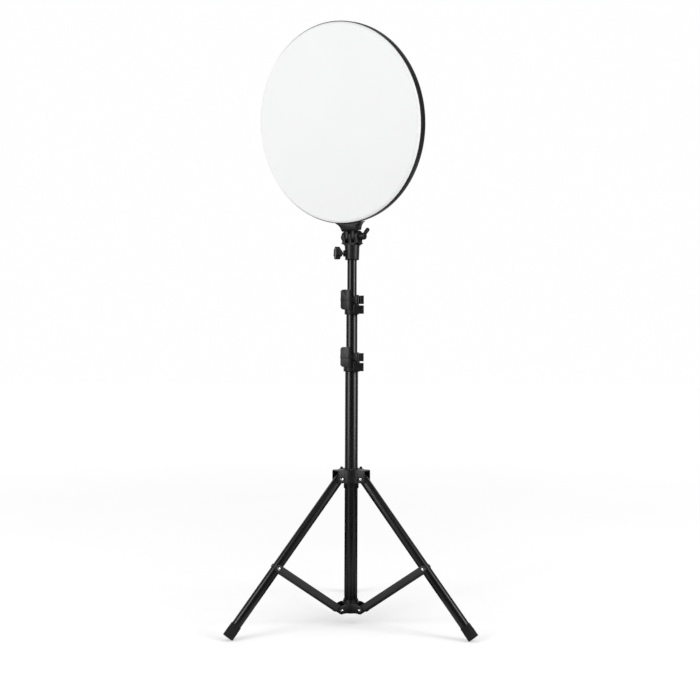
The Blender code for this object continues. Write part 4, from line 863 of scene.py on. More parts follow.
def lower_hub():
    """The hub: a sleeved ring, three pairs of lobed cheeks, and the rivets of the braces."""
    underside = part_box("lower_hub")[0].z
    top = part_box("lower_hub")[1].z
    section = top_edge(HUB_SLEEVE_R, top)
    section += [(HUB_SLEEVE_R, HUB_TOP + SOFT), (HUB_SLEEVE_R + SOFT / 2, HUB_TOP)]
    section += top_edge(HUB_RING_R, HUB_TOP)
    section += foot_edge(HUB_RING_R, underside)
    section += [(COLUMN_BORE + SOFT / 2, underside), (COLUMN_BORE, underside + SOFT / 2)]
    section += [(COLUMN_BORE, top - SOFT / 2), (COLUMN_BORE + SOFT / 2, top)]
    hub = turned_ring(section)
    root = math.sqrt(HUB_RING_R**2 - HUB_CHEEK_OUT**2) - MM
    outline = [(root, underside + SOFT), (root + MM, underside + SOFT)]
    outline += arc((PIVOT_RADIUS, HUB_PIVOT_Z), HUB_LOBE_R, -115, 80, 24)
    outline += [(HUB_RING_R - SOFT, HUB_TOP - SOFT), (root, HUB_TOP - SOFT)]
    for side in LEG_SIDES:
        for low in (HUB_CHEEK_IN, -HUB_CHEEK_OUT):
            cheek = slab(outline, low, low + HUB_CHEEK_OUT - HUB_CHEEK_IN)
            lay(soften(cheek, SOFT / 2), leg_frame(side), STANDING)
            weld(hub, cheek)
        place = leg_frame(side) @ move_by(PIVOT_RADIUS, 0, HUB_PIVOT_Z)
        carve(hub, rivet_bore(place, HUB_CHEEK_OUT + 2 * MM))
        rivet(f"hub_rivet_{side}", place, HUB_CHEEK_OUT + GAP)
    dress(hub, "lower_hub")


def crown():
    """The sliding crown: a collared body, three roofed channels over the legs, rivets and screws."""
    low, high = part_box("crown")
    section = top_edge(CROWN_COLLAR_R, high.z)
    section += [(CROWN_COLLAR_R, CROWN_TOP + SOFT / 2), (CROWN_COLLAR_R + SOFT / 2, CROWN_TOP)]
    section += top_edge(CROWN_BODY_R, CROWN_TOP)
    section += [(CROWN_BODY_R, CROWN_BOTTOM + SOFT / 2), (CROWN_BODY_R - SOFT / 2, CROWN_BOTTOM)]
    section += [(CROWN_SLEEVE_R + SOFT / 2, CROWN_BOTTOM), (CROWN_SLEEVE_R, CROWN_BOTTOM - SOFT / 2)]
    section += foot_edge(CROWN_SLEEVE_R, low.z, SOFT / 2, 3)
    section += [(COLUMN_BORE, low.z), (COLUMN_BORE, high.z)]
    body = turned_ring(section)
    outline = rounded([
        (CROWN_SLEEVE_R, CROWN_BOTTOM + GAP, 0),
        (CROWN_REACH, CROWN_BOTTOM + GAP, CROWN_NOSE),
        (CROWN_REACH, CROWN_TOP - GAP, CROWN_BROW),
        (CROWN_SLEEVE_R, CROWN_TOP - GAP, 0),
    ])
    for side in LEG_SIDES:
        channel = soften(slab(outline, -CROWN_OUTER, CROWN_OUTER), SOFT)
        weld(body, lay(channel, leg_frame(side), STANDING))
    for side in LEG_SIDES:
        room = block(
            (CROWN_SLEEVE_R - GAP, -CROWN_SLOT, CROWN_BOTTOM - 4 * MM),
            (CROWN_REACH + 4 * MM, CROWN_SLOT, CROWN_TOP - CROWN_ROOF),
        )
        carve(body, lay(soften(room, SMALL_ROUND), leg_frame(side)))
        place = leg_frame(side) @ move_by(PIVOT_RADIUS, 0, CROWN_PIVOT_Z)
        carve(body, rivet_bore(place, CROWN_OUTER + 2 * MM))
        rivet(f"crown_rivet_{side}", place, CROWN_OUTER + GAP)
        crown_screw(body, side)
    carve(body, rod(COLUMN_BORE, low.z - MM, high.z + MM, FINE))
    dress(body, "crown")


def crown_screw(body, side):
    """A domed screw with a cross recess, in the crown's top behind a leg."""
    node = f"crown_screw_{side}"
    low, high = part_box(node)
    seat = CROWN_TOP + GAP
    place = leg_frame(side) @ move_by(-CROWN_SCREW_OUT, 0, 0)
    screw = turned(domed_head(SCREW_HEAD_R, seat, high.z - seat, SCREW_R, low.z), SMALL)
    carve(screw, *cross_recess(high.z, 0.55 * SCREW_HEAD_R))
    dress(lay(screw, place), node)
    carve(body, lay(rod(SCREW_R + GAP, low.z - GAP, seat + MM, TINY), place))


def leg(side):
    """A leg tube with its rivet hole, and the ringed rubber cup on its end, cut level with the floor."""
    place = leg_frame(side) @ move_by(PIVOT_RADIUS, 0, CROWN_PIVOT_Z) @ turn_about("Y", -LEG_ANGLE)
    floor = FOOT_FLOOR - LEG_LENGTH
    legs_tube = tube(LEG_R, LEG_WALL, floor + GAP, LEG_HEEL)
    carve(legs_tube, rivet_bore(Matrix(), LEG_R + 2 * MM))
    dress(lay(legs_tube, place), f"leg_{side}")
    mouth = FOOT_LENGTH - LEG_LENGTH
    bore = LEG_R + GAP
    section = [(0, floor), (bore, floor), (bore, mouth - GAP)]
    section += arc((bore + GAP, mouth - GAP), GAP, 180, 90, 3) + top_edge(FOOT_R, mouth, GAP, 3)
    half = FOOT_RING_PITCH / 3
    for ring in range(FOOT_RINGS):
        middle = mouth - FOOT_RING_PITCH * (ring + 0.75)
        section += [
            (FOOT_R, middle + half),
            (FOOT_R - CRISP, middle + 0.7 * half),
            (FOOT_R - FOOT_GROOVE, middle),
            (FOOT_R - CRISP, middle - 0.7 * half),
            (FOOT_R, middle - half),
        ]
    section += foot_edge(FOOT_R, -LEG_LENGTH, FOOT_ROUND, 6)
    section.append((0, -LEG_LENGTH))
    cup = lay(turned(section), place)
    low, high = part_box(f"foot_{side}")
    past = 5 * MM
    below = (low.x - past, low.y - past, low.z - past)
    carve(cup, block(below, (high.x + past, high.y + past, low.z)))
    dress(cup, f"foot_{side}")


def brace(side):
    """A pressed channel with rounded bends, its web cut back at both ends, and its two stub rivets."""
    run = BRACE_ALONG_LEG * math.sin(LEG_ANGLE)
    rise = CROWN_PIVOT_Z - BRACE_ALONG_LEG * math.cos(LEG_ANGLE) - HUB_PIVOT_Z
    length = math.hypot(run, rise)
    place = leg_frame(side) @ move_by(PIVOT_RADIUS, 0, HUB_PIVOT_Z)
    place = place @ turn_about("Y", -math.atan2(rise, run))
    half = BRACE_HALF_HEIGHT
    body = slab(capsule((0, 0), (length, 0), half), -CHANNEL_OUTER, CHANNEL_OUTER)
    lay(soften(body, BRACE_WALL), STANDING)
    beyond = length + 2 * half
    room = block((-2 * half, -CHANNEL_INNER, -2 * half), (beyond, CHANNEL_INNER, half - BRACE_WALL))
    carve(body, soften(room, BRACE_BEND))
    mouth_low = half - 2 * BRACE_WALL
    for start, end in ((length - BRACE_LEG_MOUTH, beyond), (-2 * half, BRACE_HUB_MOUTH)):
        carve(body, block((start, -CHANNEL_INNER, mouth_low), (end, CHANNEL_INNER, 2 * half)))
    for end in (0, length):
        carve(body, rivet_bore(move_by(end, 0, 0), CHANNEL_OUTER + 2 * MM))
    soften(body, BRACE_EDGE, 2, 50.0)
    dress(lay(body, place), f"brace_{side}")
    for label, turn in (("near", math.pi / 2), ("far", -math.pi / 2)):
        node = f"brace_stud_{side}_{label}"
        seat = CHANNEL_OUTER + GAP
        stud = turned(domed_head(RIVET_HEAD_R, seat, RIVET_HEAD_H, RIVET_R, CHANNEL_INNER), SMALL)
        dress(lay(stud, place, move_by(length, 0, 0), turn_about("X", turn)), node)


def lock_collar(label, collar_r, place, pin):
    """The clamp collar: a ring with two rounded ears, a pocket round the lever's lug and a split."""
    tube_r, lip_r = (radius + GAP for radius in LOCKS[label])
    section = top_edge(collar_r, COLLAR_TOP) + foot_edge(collar_r, 0)
    section += [(tube_r + SOFT / 2, 0), (tube_r, SOFT / 2), (tube_r, COLLAR_TOP - COLLAR_LIP)]
    section += [(lip_r, COLLAR_TOP - COLLAR_LIP), (lip_r, COLLAR_TOP - SOFT / 2)]
    section += [(lip_r + SOFT / 2, COLLAR_TOP)]
    collar = turned_ring(section)
    room = LUG_R + LUG_ROOM
    front = pin.y - LUG_R
    middle = pin.y + room
    back = middle + EAR_STEM
    root = collar_r * COLLAR_ROOT
    at_pin = move_by(pin.x, pin.y, 0)
    low_ear = rounded([
        (EAR_START, front, EAR_ROUND),
        (EAR_END, front, EAR_ROUND),
        (EAR_END, middle, EAR_ROUND),
        (EAR_START, middle, 0),
    ])
    high_ear = rounded([
        (pin.x + room, front, EAR_ROUND),
        (EAR_END, front, EAR_ROUND),
        (EAR_END, back, EAR_ROUND),
        (root, back, 0),
        (root, middle, 0),
        (pin.x + room, middle, 0),
    ])
    for outline, heights in ((low_ear, EAR_LOW), (high_ear, EAR_HIGH)):
        weld(collar, soften(slab(outline, *heights), SOFT / 2))
    pocket_low = EAR_HIGH[0] - LUG_ROOM
    carve(collar, lay(rod(room, pocket_low, LOCK_HEIGHT, FINE), at_pin))
    carve(collar, lay(rod(PIN_R + GAP, -MM, pocket_low + MM, TINY), at_pin))
    carve(collar, rod(tube_r, -MM, COLLAR_TOP - COLLAR_LIP, FINE))
    carve(collar, rod(lip_r, -2 * MM, LOCK_HEIGHT, FINE))
    split = block((lip_r - MM, -SPLIT_HALF, COLLAR_STEP), (collar_r + 4 * MM, SPLIT_HALF, LOCK_HEIGHT))
    carve(collar, split)
    dress(lay(collar, place), f"{label}_lock_collar")


def band_plan(outer, inner, grown, start):
    """The lever's plan, wrapped round the collar's front and run out to a flat tip. A rib's is grown."""
    front = TIP_FRONT - grown
    back = TIP_BACK - grown
    tip = TIP_X - grown / 4
    outline = arc((0, 0), outer, start, BAND_LEAVES_OUT, 18)
    outline += rounded([(*outline[-1], 0), (tip, front, SOFT), (tip, back, SOFT), (0, 0, 0)])[1:-1]
    return outline + arc((0, 0), inner, BAND_LEAVES_IN, start, 18)


def lock_lever(label, collar_r, place, pin):
    """The flip lever: a curved thumb pad with a rib across it, an arm and a lug round the pin."""
    node = f"{label}_lock_lever"
    sweep = collar_r + LEVER_GAP
    outer = sweep + LEVER_WALL
    lug_left = pin.x - LUG_R / 2
    # 1 mm outside the tip, because the two planes mustn't meet
    left, right = TIP_X - MM, PAD_RIGHT
    arm_low, arm_high = RIB_Z - ARM_HALF, RIB_Z + ARM_HALF
    lug_low, lug_high = EAR_HIGH
    front = rounded([
        (left, PAD_BOTTOM, PAD_FOOT_ROUND),
        (right, PAD_BOTTOM, PAD_HEEL_ROUND),
        (right, arm_low, ARM_ROUND),
        (lug_left, lug_low + GAP, 0),
        (outer, lug_low + GAP, 0),
        (outer, lug_high - GAP, 0),
        (lug_left, lug_high - GAP, 0),
        (right, arm_high, ARM_ROUND),
        (right, LOCK_HEIGHT, PAD_BACK_ROUND),
        (left, LOCK_HEIGHT, PAD_TOP_ROUND),
    ])
    lever = slab(band_plan(outer, collar_r, 0, BAND_START), 0, LOCK_HEIGHT + MM)
    trim(lever, lay(slab(front, -2 * MM, LEVER_DEEP), STANDING))
    carve(lever, rod(sweep, -MM, LOCK_HEIGHT + 2 * MM, FINE))
    soften(lever, CRISP, clamp=False)
    plan = band_plan(outer + RIB_PROUD, outer - MM, RIB_PROUD, RIB_START)
    rib = slab(plan, RIB_Z - RIB_HALF, RIB_Z + RIB_HALF)
    weld(lever, soften(rib, CRISP))
    lug = soften(rod(LUG_R, lug_low, lug_high, FINE), SOFT / 2)
    at_pin = move_by(pin.x, pin.y, 0)
    weld(lever, lay(lug, at_pin))
    carve(lever, lay(rod(PIN_R + GAP, 0, LOCK_HEIGHT, TINY), at_pin))
    dress(lay(lever, place), node)


def flip_lock(label):
    """A collar, its lever and their pin. The liner inside keeps its plain form."""
    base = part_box(f"{label}_lock_collar")[0].z
    place = move_by(0, 0, base)
    pin = joint_place(f"{label}_lever_flip")
    collar_r = LOCKS[label][0] + GAP + COLLAR_WALL
    lock_collar(label, collar_r, place, pin)
    lock_lever(label, collar_r, place, pin)
    low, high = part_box(f"{label}_lock_pin")
    edge = PIN_HEAD_H / 2
    section = [(0, high.z)] + top_edge(PIN_HEAD_R, high.z, edge, 3)
    section += [(PIN_HEAD_R, high.z - PIN_HEAD_H), (PIN_R, high.z - PIN_HEAD_H)]
    section += [(PIN_R, low.z + PIN_HEAD_H), (PIN_HEAD_R, low.z + PIN_HEAD_H)]
    section += foot_edge(PIN_HEAD_R, low.z, edge, 3) + [(0, low.z)]
    dress(lay(turned(section, SMALL), move_by(pin.x, pin.y, 0)), f"{label}_lock_pin")


def knuckle(thickness, middle, radius, root, root_half):
    """One knuckle of the hinge, square to X: a round end with a root that runs up or down."""
    if root < 0:
        shoulder = -KNUCKLE_WAIST * radius
        outline = arc((0, 0), radius, 180, 0, 24) + [(root_half, shoulder), (root_half, root)]
        outline += [(-root_half, root), (-root_half, shoulder)]
    else:
        outline = arc((0, 0), radius, 0, -180, 24) + [(-root_half, root), (root_half, root)]
    piece = soften(slab(outline, -thickness / 2, thickness / 2), FINE_EDGE)
    return lay(piece, move_by(middle, 0, 0), ACROSS)


def spigot():
    """The bright stud in the top tube's mouth that the socket sits on."""
    low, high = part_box("top_spigot")
    bore = TOP_R - SLIDE_WALL - GAP
    outer = TOP_R - SPIGOT_STEP
    seat = TOP_TUBE_END + GAP
    section = [(0, high.z)] + top_edge(outer, high.z, steps=5)
    section += [(outer, seat), (bore, seat), (bore, low.z + GAP), (bore - GAP, low.z), (0, low.z)]
    dress(turned(section), "top_spigot")


def socket_base():
    """The tilting base: a socket with a flared yoke, three knuckles and a boss for the clamp screw."""
    low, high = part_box("socket_base")
    bore = TOP_R + GAP
    top = SOCKET_TOP + MM
    section = [(0, top), (SOCKET_TOP_R, top), (SOCKET_FOOT_R, low.z + SOFT)]
    section += foot_edge(SOCKET_FOOT_R, low.z)[1:]
    section += [(bore + SOFT / 2, low.z), (bore, low.z + SOFT / 2), (bore, SOCKET_ROOF), (0, SOCKET_ROOF)]
    base = turned(section)
    foot = SOCKET_TOP - HINGE.translation.z
    side = STACK_HALF - GAP / 2
    right = flare(YOKE_FOOT, side, foot, -BASE_FLOOR - YOKE_LIP, YOKE_TURN, 10) + [(side, -BASE_FLOOR)]
    outline = right + [(-x, z) for x, z in reversed(right)]
    yoke = slab(outline, -KNUCKLE_R, KNUCKLE_R)
    weld(base, lay(soften(yoke, CAST_ROUND, 4), HINGE, STANDING))
    for hand in (-1, 0, 1):
        middle = hand * (BASE_KNUCKLE + NECK_KNUCKLE + 2 * KNUCKLE_GAP)
        tine = knuckle(BASE_KNUCKLE, middle, KNUCKLE_R, -BASE_FLOOR - MM, BASE_ROOT)
        weld(base, lay(tine, HINGE))
    carve(base, lay(rod(BOLT_R + GAP, -2 * STACK_HALF, 2 * STACK_HALF, SMALL), HINGE, ACROSS))
    boss = soften(rod(CLAMP_BOSS_R, bore + MM, CLAMP_BOSS_END, SMALL), SMALL_ROUND)
    weld(base, lay(boss, CLAMP))
    carve(base, lay(rod(CLAMP_SCREW_R + GAP, 0, CLAMP_BOSS_END + 4 * MM, SMALL), CLAMP))
    carve(base, rod(bore, low.z - MM, SOCKET_ROOF, FINE))
    dress(base, "socket_base")


def clamp():
    """The lobed knob with its dished face, and its threaded screw, whose tip lies against the spigot."""
    end = KNOB_END - KNOB_FACE - GAP
    start = TOP_R - SPIGOT_STEP + GAP
    root = CLAMP_SCREW_R - CRISP
    section = [(0, end), (CLAMP_SCREW_R, end)]
    crest = end - THREAD_PLAIN
    while crest > start + THREAD_END:
        section += [(CLAMP_SCREW_R, crest), (root, crest - 0.4 * THREAD_PITCH)]
        section += [(CLAMP_SCREW_R, crest - 0.8 * THREAD_PITCH)]
        crest -= THREAD_PITCH
    section += [(CLAMP_SCREW_R, start + 0.6 * MM), (CLAMP_SCREW_R - 0.5 * MM, start), (0, start)]
    dress(lay(turned(section, SMALL), CLAMP), "clamp_screw")
    count = KNOB_LOBES * KNOB_LOBE_STEPS
    turns = [2 * math.pi * step / count for step in range(count)]
    radii = [KNOB_R + KNOB_LOBE * math.cos(KNOB_LOBES * turn) for turn in turns]
    outline = [(r * math.cos(turn), r * math.sin(turn)) for r, turn in zip(radii, turns)]
    knob = soften(slab(outline, KNOB_SHOULDER, KNOB_END), MM, 4, 60.0)
    weld(knob, rod(KNOB_NECK_R, KNOB_START, KNOB_SHOULDER + MM, FINE, KNOB_NECK_R + KNOB_NECK_FLARE))
    top, floor = KNOB_END + MM, KNOB_END - KNOB_DISH
    carve(knob, turned([(0, top), (KNOB_DISH_R + MM, top), (KNOB_DISH_R, floor), (0, floor)]))
    carve(knob, rod(CLAMP_SCREW_R + GAP, KNOB_START - 4 * MM, KNOB_END - KNOB_FACE, SMALL))
    dress(lay(knob, CLAMP), "clamp_knob")


def bolt_and_wing():
    """The hinge bolt with a hexagon socket in its head, and the wing lever on its other end."""
    seat = STACK_HALF + GAP
    top = -seat - BOLT_HEAD_H
    tip = STACK_HALF + WING_HUB - 4 * GAP
    section = [(0, tip), (BOLT_R - BOLT_CHAMFER, tip), (BOLT_R, tip - BOLT_CHAMFER)]
    section += [(BOLT_R, -seat), (BOLT_HEAD_R, -seat)]
    section += foot_edge(BOLT_HEAD_R, top, steps=5) + [(0, top)]
    bolt = turned(section, SMALL)
    carve(bolt, rod(HEX_R, top - MM, top + HEX_DEEP, 6))
    dress(lay(bolt, HINGE, turn_about("Y", math.pi / 2)), "hinge_bolt")
    end = seat + WING_HUB
    section = [(0, end)] + top_edge(WING_HUB_R, end, WING_HUB_ROUND, 6)
    section += foot_edge(WING_HUB_R, seat, FINE_EDGE, 3)
    section += [(BOLT_R + GAP, seat), (BOLT_R + GAP, end - WING_CAP), (0, end - WING_CAP)]
    nut = lay(turned(section, FINE), turn_about("Y", math.pi / 2))
    start = BOLT_R + MM + WING_WIDTH / 2
    paddle = slab(capsule((start, 0), (WING_REACH, 0), WING_WIDTH / 2), -WING_THICK / 2, WING_THICK / 2)
    soften(paddle, WING_ROUND, 4)
    lean = turn_about("X", WING_LEAN_BACK) @ turn_about("Y", WING_LEAN_OUT)
    lay(paddle, move_by(seat + WING_ROOT * WING_HUB, 0, 0), lean, turn_about("Y", -math.pi / 2))
    weld(nut, paddle)
    dress(lay(nut, HINGE), "wing_nut")


def neck():
    """The neck: a waist that flares to a saddle under the disc, two knuckles, a tongue and its screws."""
    waist = NECK_WAIST / 2
    bottom = KNUCKLE_R + KNUCKLE_GAP
    saddle_r = DISC_R + GAP
    half_top = math.degrees(math.asin(NECK_TOP / 2 / saddle_r))
    saddle = arc((0, DISC_CENTRE), saddle_r, -90 - half_top, -90 + half_top, 24)
    right = flare(waist, NECK_TOP / 2, bottom, saddle[-1][1], NECK_FLARE_TURN, 20)[:-1]
    left = [(-x, z) for x, z in right]
    body = lay(slab(left + saddle + right[::-1], -NECK_DEPTH / 2, NECK_DEPTH / 2), STANDING)
    half = NECK_DEPTH / 2 - GAP
    top = DISC_CENTRE - DISC_R + 8 * MM
    side_view = [(-NECK_FOOT / 2, bottom - MM), (NECK_FOOT / 2, bottom - MM)]
    side_view += [(half, NECK_CHAMFER), (half, top)]
    side_view += [(-half, top), (-half, NECK_CHAMFER)]
    taper = slab(side_view, -NECK_TOP, NECK_TOP)
    trim(body, lay(soften(taper, CAST_ROUND, 4, 18.0), ACROSS))
    soften(body, CRISP, 3, 50.0)
    for hand in (-1, 1):
        middle = hand * ((BASE_KNUCKLE + NECK_KNUCKLE) / 2 + KNUCKLE_GAP)
        radius = KNUCKLE_R - KNUCKLE_GAP
        weld(body, knuckle(NECK_KNUCKLE, middle, radius, bottom + 2 * MM, NECK_FOOT / 2 - MM))
    carve(body, lay(rod(BOLT_R + GAP, -2 * STACK_HALF, 2 * STACK_HALF, SMALL), ACROSS))
    tongue_low = (-TONGUE_HALF, -DISC_R - 2 * MM, TONGUE_BACK)
    tongue = block(tongue_low, (TONGUE_HALF, TONGUE_IN - DISC_R, TONGUE_FRONT))
    weld(body, lay(tongue, move_by(0, 0, DISC_CENTRE), STANDING))
    seat = HOUSING_BACK - GAP
    end = seat + NECK_SCREW_LONG
    back = seat - NECK_HEAD_H
    section = [(0, end), (SCREW_R, end), (SCREW_R, seat), (NECK_HEAD_R, seat)]
    section += foot_edge(NECK_HEAD_R, back, NECK_HEAD_H / 2) + [(0, back)]
    for hand, label in ((-1, "left"), (1, "right")):
        at = move_by(hand * NECK_SCREW_X, NECK_SCREW_IN - DISC_R, 0)
        screw = turned(section, SMALL)
        carve(screw, *cross_recess(back, NECK_HEAD_H))
        dress(lay(screw, DISC, at), f"neck_screw_{label}")
        bore = rod(SCREW_R + GAP, seat - 4 * MM, end + GAP, TINY)
        carve(body, lay(bore, move_by(0, 0, DISC_CENTRE), STANDING, at))
    dress(lay(body, HEAD), "neck")


def rear_housing():
    """The dish behind the light: a stepped back with vents, bosses and posts inside, and the openings."""
    floor = HOUSING_BACK + HOUSING_WALL
    inner = DISC_R - HOUSING_WALL
    back = HOUSING_BACK - BACK_STEP
    section = [(0, floor - BACK_STEP), (STEP_R - BACK_STEP, floor - BACK_STEP), (STEP_R, floor)]
    section += arc((inner - INNER_ROUND, floor + INNER_ROUND), INNER_ROUND, -90, 0, 5)
    section += [(inner, HOUSING_FRONT - FINE_EDGE), (inner + FINE_EDGE, HOUSING_FRONT)]
    section += top_edge(RIM_R, HOUSING_FRONT, SMALL_ROUND)
    seam = HOUSING_FRONT - RIM_SEAM
    seam_end = seam - RIM_SEAM_WIDE
    section += [(RIM_R, seam), (RIM_R - CRISP, seam - GAP)]
    section += [(RIM_R - CRISP, seam_end + GAP), (RIM_R, seam_end)]
    section += foot_edge(RIM_R, HOUSING_BACK, BACK_ROUND, 10)
    # A soft step out to the flat middle, with a fine groove round it
    section += [(STEP_R + BACK_STEP, HOUSING_BACK)]
    section += [(STEP_R + 0.5 * BACK_STEP, HOUSING_BACK - 0.3 * BACK_STEP)]
    section += [(STEP_R, HOUSING_BACK - 0.8 * BACK_STEP), (STEP_R - BACK_STEP / 2, back)]
    groove_in = BACK_GROOVE_R - BACK_GROOVE_WIDE
    groove = back + BACK_GROOVE_DEEP
    section += [(BACK_GROOVE_R, back), (BACK_GROOVE_R - BACK_GROOVE_DEEP, groove)]
    section += [(groove_in + BACK_GROOVE_DEEP, groove), (groove_in, back), (0, back)]
    dish = turned(section, DISC_STEPS)
    vent = capsule((0, VENT_IN), (0, VENT_OUT), VENT_WIDTH / 2, 8)
    slot = slab(vent, HOUSING_BACK - 8 * MM, floor + 2 * MM)
    carve(dish, repeat(slot, VENT_COUNT))
    boss = lay(rod(BOSS_R, floor - MM, BOARD_BACK - GAP, TINY), move_by(BOSS_OUT, 0, 0))
    weld(dish, repeat(boss, BOSS_COUNT))
    for hand in (-1, 1):
        at = move_by(hand * (DRIVER_HALF - POST_IN), CONTROL_Y + DRIVER_DEEP - POST_IN, 0)
        weld(dish, lay(rod(POST_R, floor - MM, DRIVER_BACK - GAP, TINY), at))
    holes = [(hand * NECK_SCREW_X, NECK_SCREW_IN - DISC_R, SCREW_R + GAP) for hand in (-1, 1)]
    holes += [(index * CONTROL_PITCH, CONTROL_Y, BUTTON_R + GAP) for index in (-1, 0, 1)]
    holes.append((INLET_X, CONTROL_Y, INLET_R + GAP))
    for x, y, radius in holes:
        carve(dish, lay(rod(radius, HOUSING_BACK - 6 * MM, floor + MM, SMALL), move_by(x, y, 0)))
    half = TONGUE_HALF + GAP
    low = (-half, -DISC_R - 4 * MM, TONGUE_BACK - GAP / 2)
    carve(dish, block(low, (half, TONGUE_IN + GAP - DISC_R, TONGUE_FRONT + GAP)))
    dress(lay(dish, DISC), "rear_housing")


def diffuser():
    """The opal front: a flat face, a softly rounded shoulder and a skirt inside the rim."""
    seat = HOUSING_FRONT + GAP
    top = HOUSING_FRONT + DIFFUSER_PROUD
    flat_r = DIFFUSER_R - DIFFUSER_ROUND
    turns = [math.pi / 2 * step / 12 for step in range(13)]
    outer, inner = (
        [
            (flat_r + (DIFFUSER_ROUND - wall) * math.sin(a), seat + (top - seat - wall) * math.cos(a))
            for a in turns
        ]
        for wall in (0, DIFFUSER_WALL)
    )
    skirt_r = DISC_R - HOUSING_WALL - GAP
    low = seat - DIFFUSER_SKIRT
    section = [(0, top)] + outer + [(skirt_r, seat), (skirt_r, low), (inner[-1][0], low)]
    section += inner[::-1] + [(0, top - DIFFUSER_WALL)]
    dress(lay(turned(section, DISC_STEPS), DISC), "diffuser")


def controls():
    """Three push buttons, dished with raised marks, and the round power inlet with its pin."""
    flange_low = HOUSING_BACK + HOUSING_WALL + GAP
    flange_high = flange_low + BUTTON_FLANGE
    face = HOUSING_BACK - BUTTON_PROUD
    low, high = face + 0.1 * MM, face + MM
    section = [(0, flange_high), (BUTTON_FLANGE_R, flange_high), (BUTTON_FLANGE_R, flange_low)]
    section += [(BUTTON_R, flange_low)] + foot_edge(BUTTON_R, face, BUTTON_ROUND, 5)
    section += [(BUTTON_R - 1.2 * MM, face), (BUTTON_R - 1.5 * MM, face + 0.25 * MM), (0, face + 0.4 * MM)]
    for index, (label, bars) in enumerate(BUTTONS.items(), -1):
        key = turned(section, SMALL)
        if label == "power":
            inner, outer = MARK_RING
            weld(key, turned_ring([(inner, low), (outer, low), (outer, high), (inner, high)], SMALL))
        for turn, shift in bars:
            bar = block((-MARK_HALF, -MARK_THIN, low), (MARK_HALF, MARK_THIN, high))
            weld(key, lay(bar, turn_about("Z", math.radians(turn)), move_by(shift, 0, 0)))
        dress(lay(key, DISC, move_by(index * CONTROL_PITCH, CONTROL_Y, 0)), f"{label}_button")
    mouth = HOUSING_BACK - INLET_PROUD
    end = mouth + INLET_DEPTH
    floor = end - INLET_FLOOR
    section = [(0, end), (INLET_R, end), (INLET_R, flange_high), (INLET_FLANGE_R, flange_high)]
    section += [(INLET_FLANGE_R, flange_low), (INLET_R, flange_low)] + foot_edge(INLET_R, mouth, GAP, 3)
    section += [(INLET_BORE_R + GAP, mouth), (INLET_BORE_R, mouth + GAP), (INLET_BORE_R, floor)]
    section += [(INLET_PIN_R, floor), (INLET_PIN_R, mouth + 1.4 * MM)]
    section += [(0.6 * MM, mouth + MM), (0, mouth + MM)]
    dress(lay(turned(section, SMALL), DISC, move_by(INLET_X, CONTROL_Y, 0)), "power_inlet")


def dress_nodes():
    """Gives every CAD node its finish, also those that a finer piece replaces."""
    for part in frame["record"]["subparts"]:
        node = frame["nodes"][part["node"]]
        node.data.materials.clear()
        node.data.materials.append(FINISHES[part["material_slot"]])


def place_camera():
    lens = bpy.data.cameras.new("camera")
    lens.lens = LENS
    lens.sensor_width = 36
    lens.shift_x, lens.shift_y = FRAME_SHIFT
    camera = bpy.data.objects.new("camera", lens)
    camera.location = CAMERA_PLACE
    camera.rotation_euler = (math.pi / 2, CAMERA_ROLL, 0)
    bpy.context.scene.collection.objects.link(camera)
    bpy.context.scene.camera = camera


def lay_floor():
    """A white floor at the feet that fades into the white behind, and keeps the stand's soft shadow."""
    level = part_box("foot_left")[0].z
    bpy.ops.object.select_all(action="DESELECT")
    bpy.ops.mesh.primitive_plane_add(size=2 * FLOOR_HALF, location=(0, 0, level))
    floor = bpy.context.object
    floor.name = "floor"
    finish = new_finish("floor", 0.9, specular=0.0)
    tone = tint(finish, grain(finish, 3.0), (FLOOR_DARK,) * 3, (FLOOR_LIGHT,) * 3)
    place = wire(finish, "ShaderNodeTexCoord").outputs["Object"]
    away = wire(finish, "ShaderNodeVectorMath", Vector=place)
    away.operation = "LENGTH"
    glow = between(finish, away.outputs["Value"], FLOOR_GLOW_NEAR, FLOOR_GLOW_FAR, FLOOR_NEAR, FLOOR_FAR)
    tree = finish.node_tree
    tree.nodes["Principled BSDF"].inputs["Emission Color"].default_value = (1, 1, 1, 1)
    seen = seen_directly(tree, 1.0)
    feed(finish, Base_Color=tone, Emission_Strength=reckon(tree, "MULTIPLY", seen, glow))
    floor.data.materials.append(finish)


def reckon(tree, operation, first, second):
    """The result of a math node, from two sockets or numbers."""
    node = tree.nodes.new("ShaderNodeMath")
    node.operation = operation
    for socket, value in zip(node.inputs, (first, second)):
        if isinstance(value, bpy.types.NodeSocket):
            tree.links.new(value, socket)
        else:
            socket.default_value = value
    return node.outputs[0]


def seen_directly(tree, strength):
    """A strength for camera, glossy and transmission rays, and none for the rest."""
    path = tree.nodes.new("ShaderNodeLightPath").outputs
    seen = reckon(tree, "MAXIMUM", path["Is Camera Ray"], path["Is Glossy Ray"])
    seen = reckon(tree, "MAXIMUM", seen, path["Is Transmission Ray"])
    return reckon(tree, "MULTIPLY", seen, strength)


def light_world():
    """White where it is seen, and a lower even light for the rest."""
    world = bpy.data.worlds.new("studio")
    world.use_nodes = True
    bpy.context.scene.world = world
    tree = world.node_tree
    back = tree.nodes["Background"]
    back.inputs["Color"].default_value = (1, 1, 1, 1)
    strength = reckon(tree, "ADD", seen_directly(tree, WORLD_SEEN - WORLD_FILL), WORLD_FILL)
    tree.links.new(strength, back.inputs["Strength"])


def around(azimuth, distance, height):
    """A place round the stand. The azimuth runs from the camera's side, positive to the right."""
    side = math.radians(azimuth)
    return (distance * math.sin(side), -distance * math.cos(side), height)


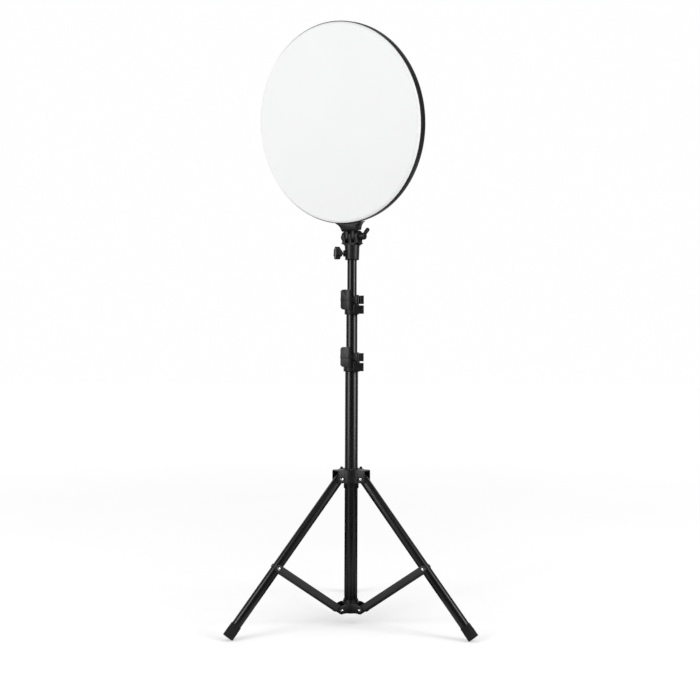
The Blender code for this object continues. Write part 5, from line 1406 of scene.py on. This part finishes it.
def softbox(name, azimuth, width, power):
    """An area lamp turned to the stand."""
    lamp = bpy.data.lights.new(name, "AREA")
    lamp.shape = "RECTANGLE"
    lamp.size = width
    lamp.size_y = SOFTBOX_TALL
    lamp.energy = power
    box = bpy.data.objects.new(name, lamp)
    box.location = around(azimuth, SOFTBOX_DISTANCE, SOFTBOX_MIDDLE)
    box.rotation_euler = (math.pi / 2, 0, math.radians(azimuth))
    bpy.context.scene.collection.objects.link(box)


def card(name, place, turn, width, height, shade=CARD_BLACK):
    """A card seen only in reflections. The black ones keep the paint dark between the softboxes."""
    bpy.ops.mesh.primitive_plane_add(size=1, location=place, rotation=turn)
    sheet = bpy.context.object
    sheet.name = name
    sheet.scale = (width, height, 1)
    sheet.visible_camera = False
    sheet.visible_diffuse = False
    sheet.visible_shadow = False
    finish = new_finish(f"{name} cloth", 0.9, specular=0.0)
    feed(finish, Base_Color=tint(finish, grain(finish, 40.0), (shade,) * 3, (1.1 * shade,) * 3))
    sheet.data.materials.append(finish)


def light_studio():
    """Two softboxes, black cards round, over and under the stand, and two pale cards on the floor."""
    light_world()
    softbox("left softbox", LEFT_AZIMUTH, 0.95, 24)
    softbox("right softbox", RIGHT_AZIMUTH, 0.8, 25)
    for name, azimuth, distance, width in FLAGS:
        place = around(azimuth, distance, FLAG_TALL / 2 - FLAG_BELOW)
        card(name, place, (math.pi / 2, 0, math.radians(azimuth)), width, FLAG_TALL)
    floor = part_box("foot_left")[0].z
    card("floor flag", (0, 0, floor + MM / 2), (0, 0, 0), FLOOR_FLAG, FLOOR_FLAG)
    card("top flag", (0, 0, TOP_FLAG_HEIGHT), (0, 0, 0), TOP_FLAG, TOP_FLAG)
    for name, azimuth in (("left floor card", LEFT_AZIMUTH), ("right floor card", RIGHT_AZIMUTH)):
        turn = (0, 0, math.radians(azimuth))
        card(name, around(azimuth, PALE_CARD_OUT, floor + MM), turn, *PALE_CARD, CARD_PALE)
    bpy.context.scene.view_settings.view_transform = "Standard"


dress_nodes()
telescope()
lower_hub()
crown()
for leg_side in LEG_SIDES:
    leg(leg_side)
    brace(leg_side)
for lock in LOCKS:
    flip_lock(lock)
spigot()
socket_base()
clamp()
bolt_and_wing()
neck()
rear_housing()
diffuser()
controls()
place_camera()
lay_floor()
light_studio()
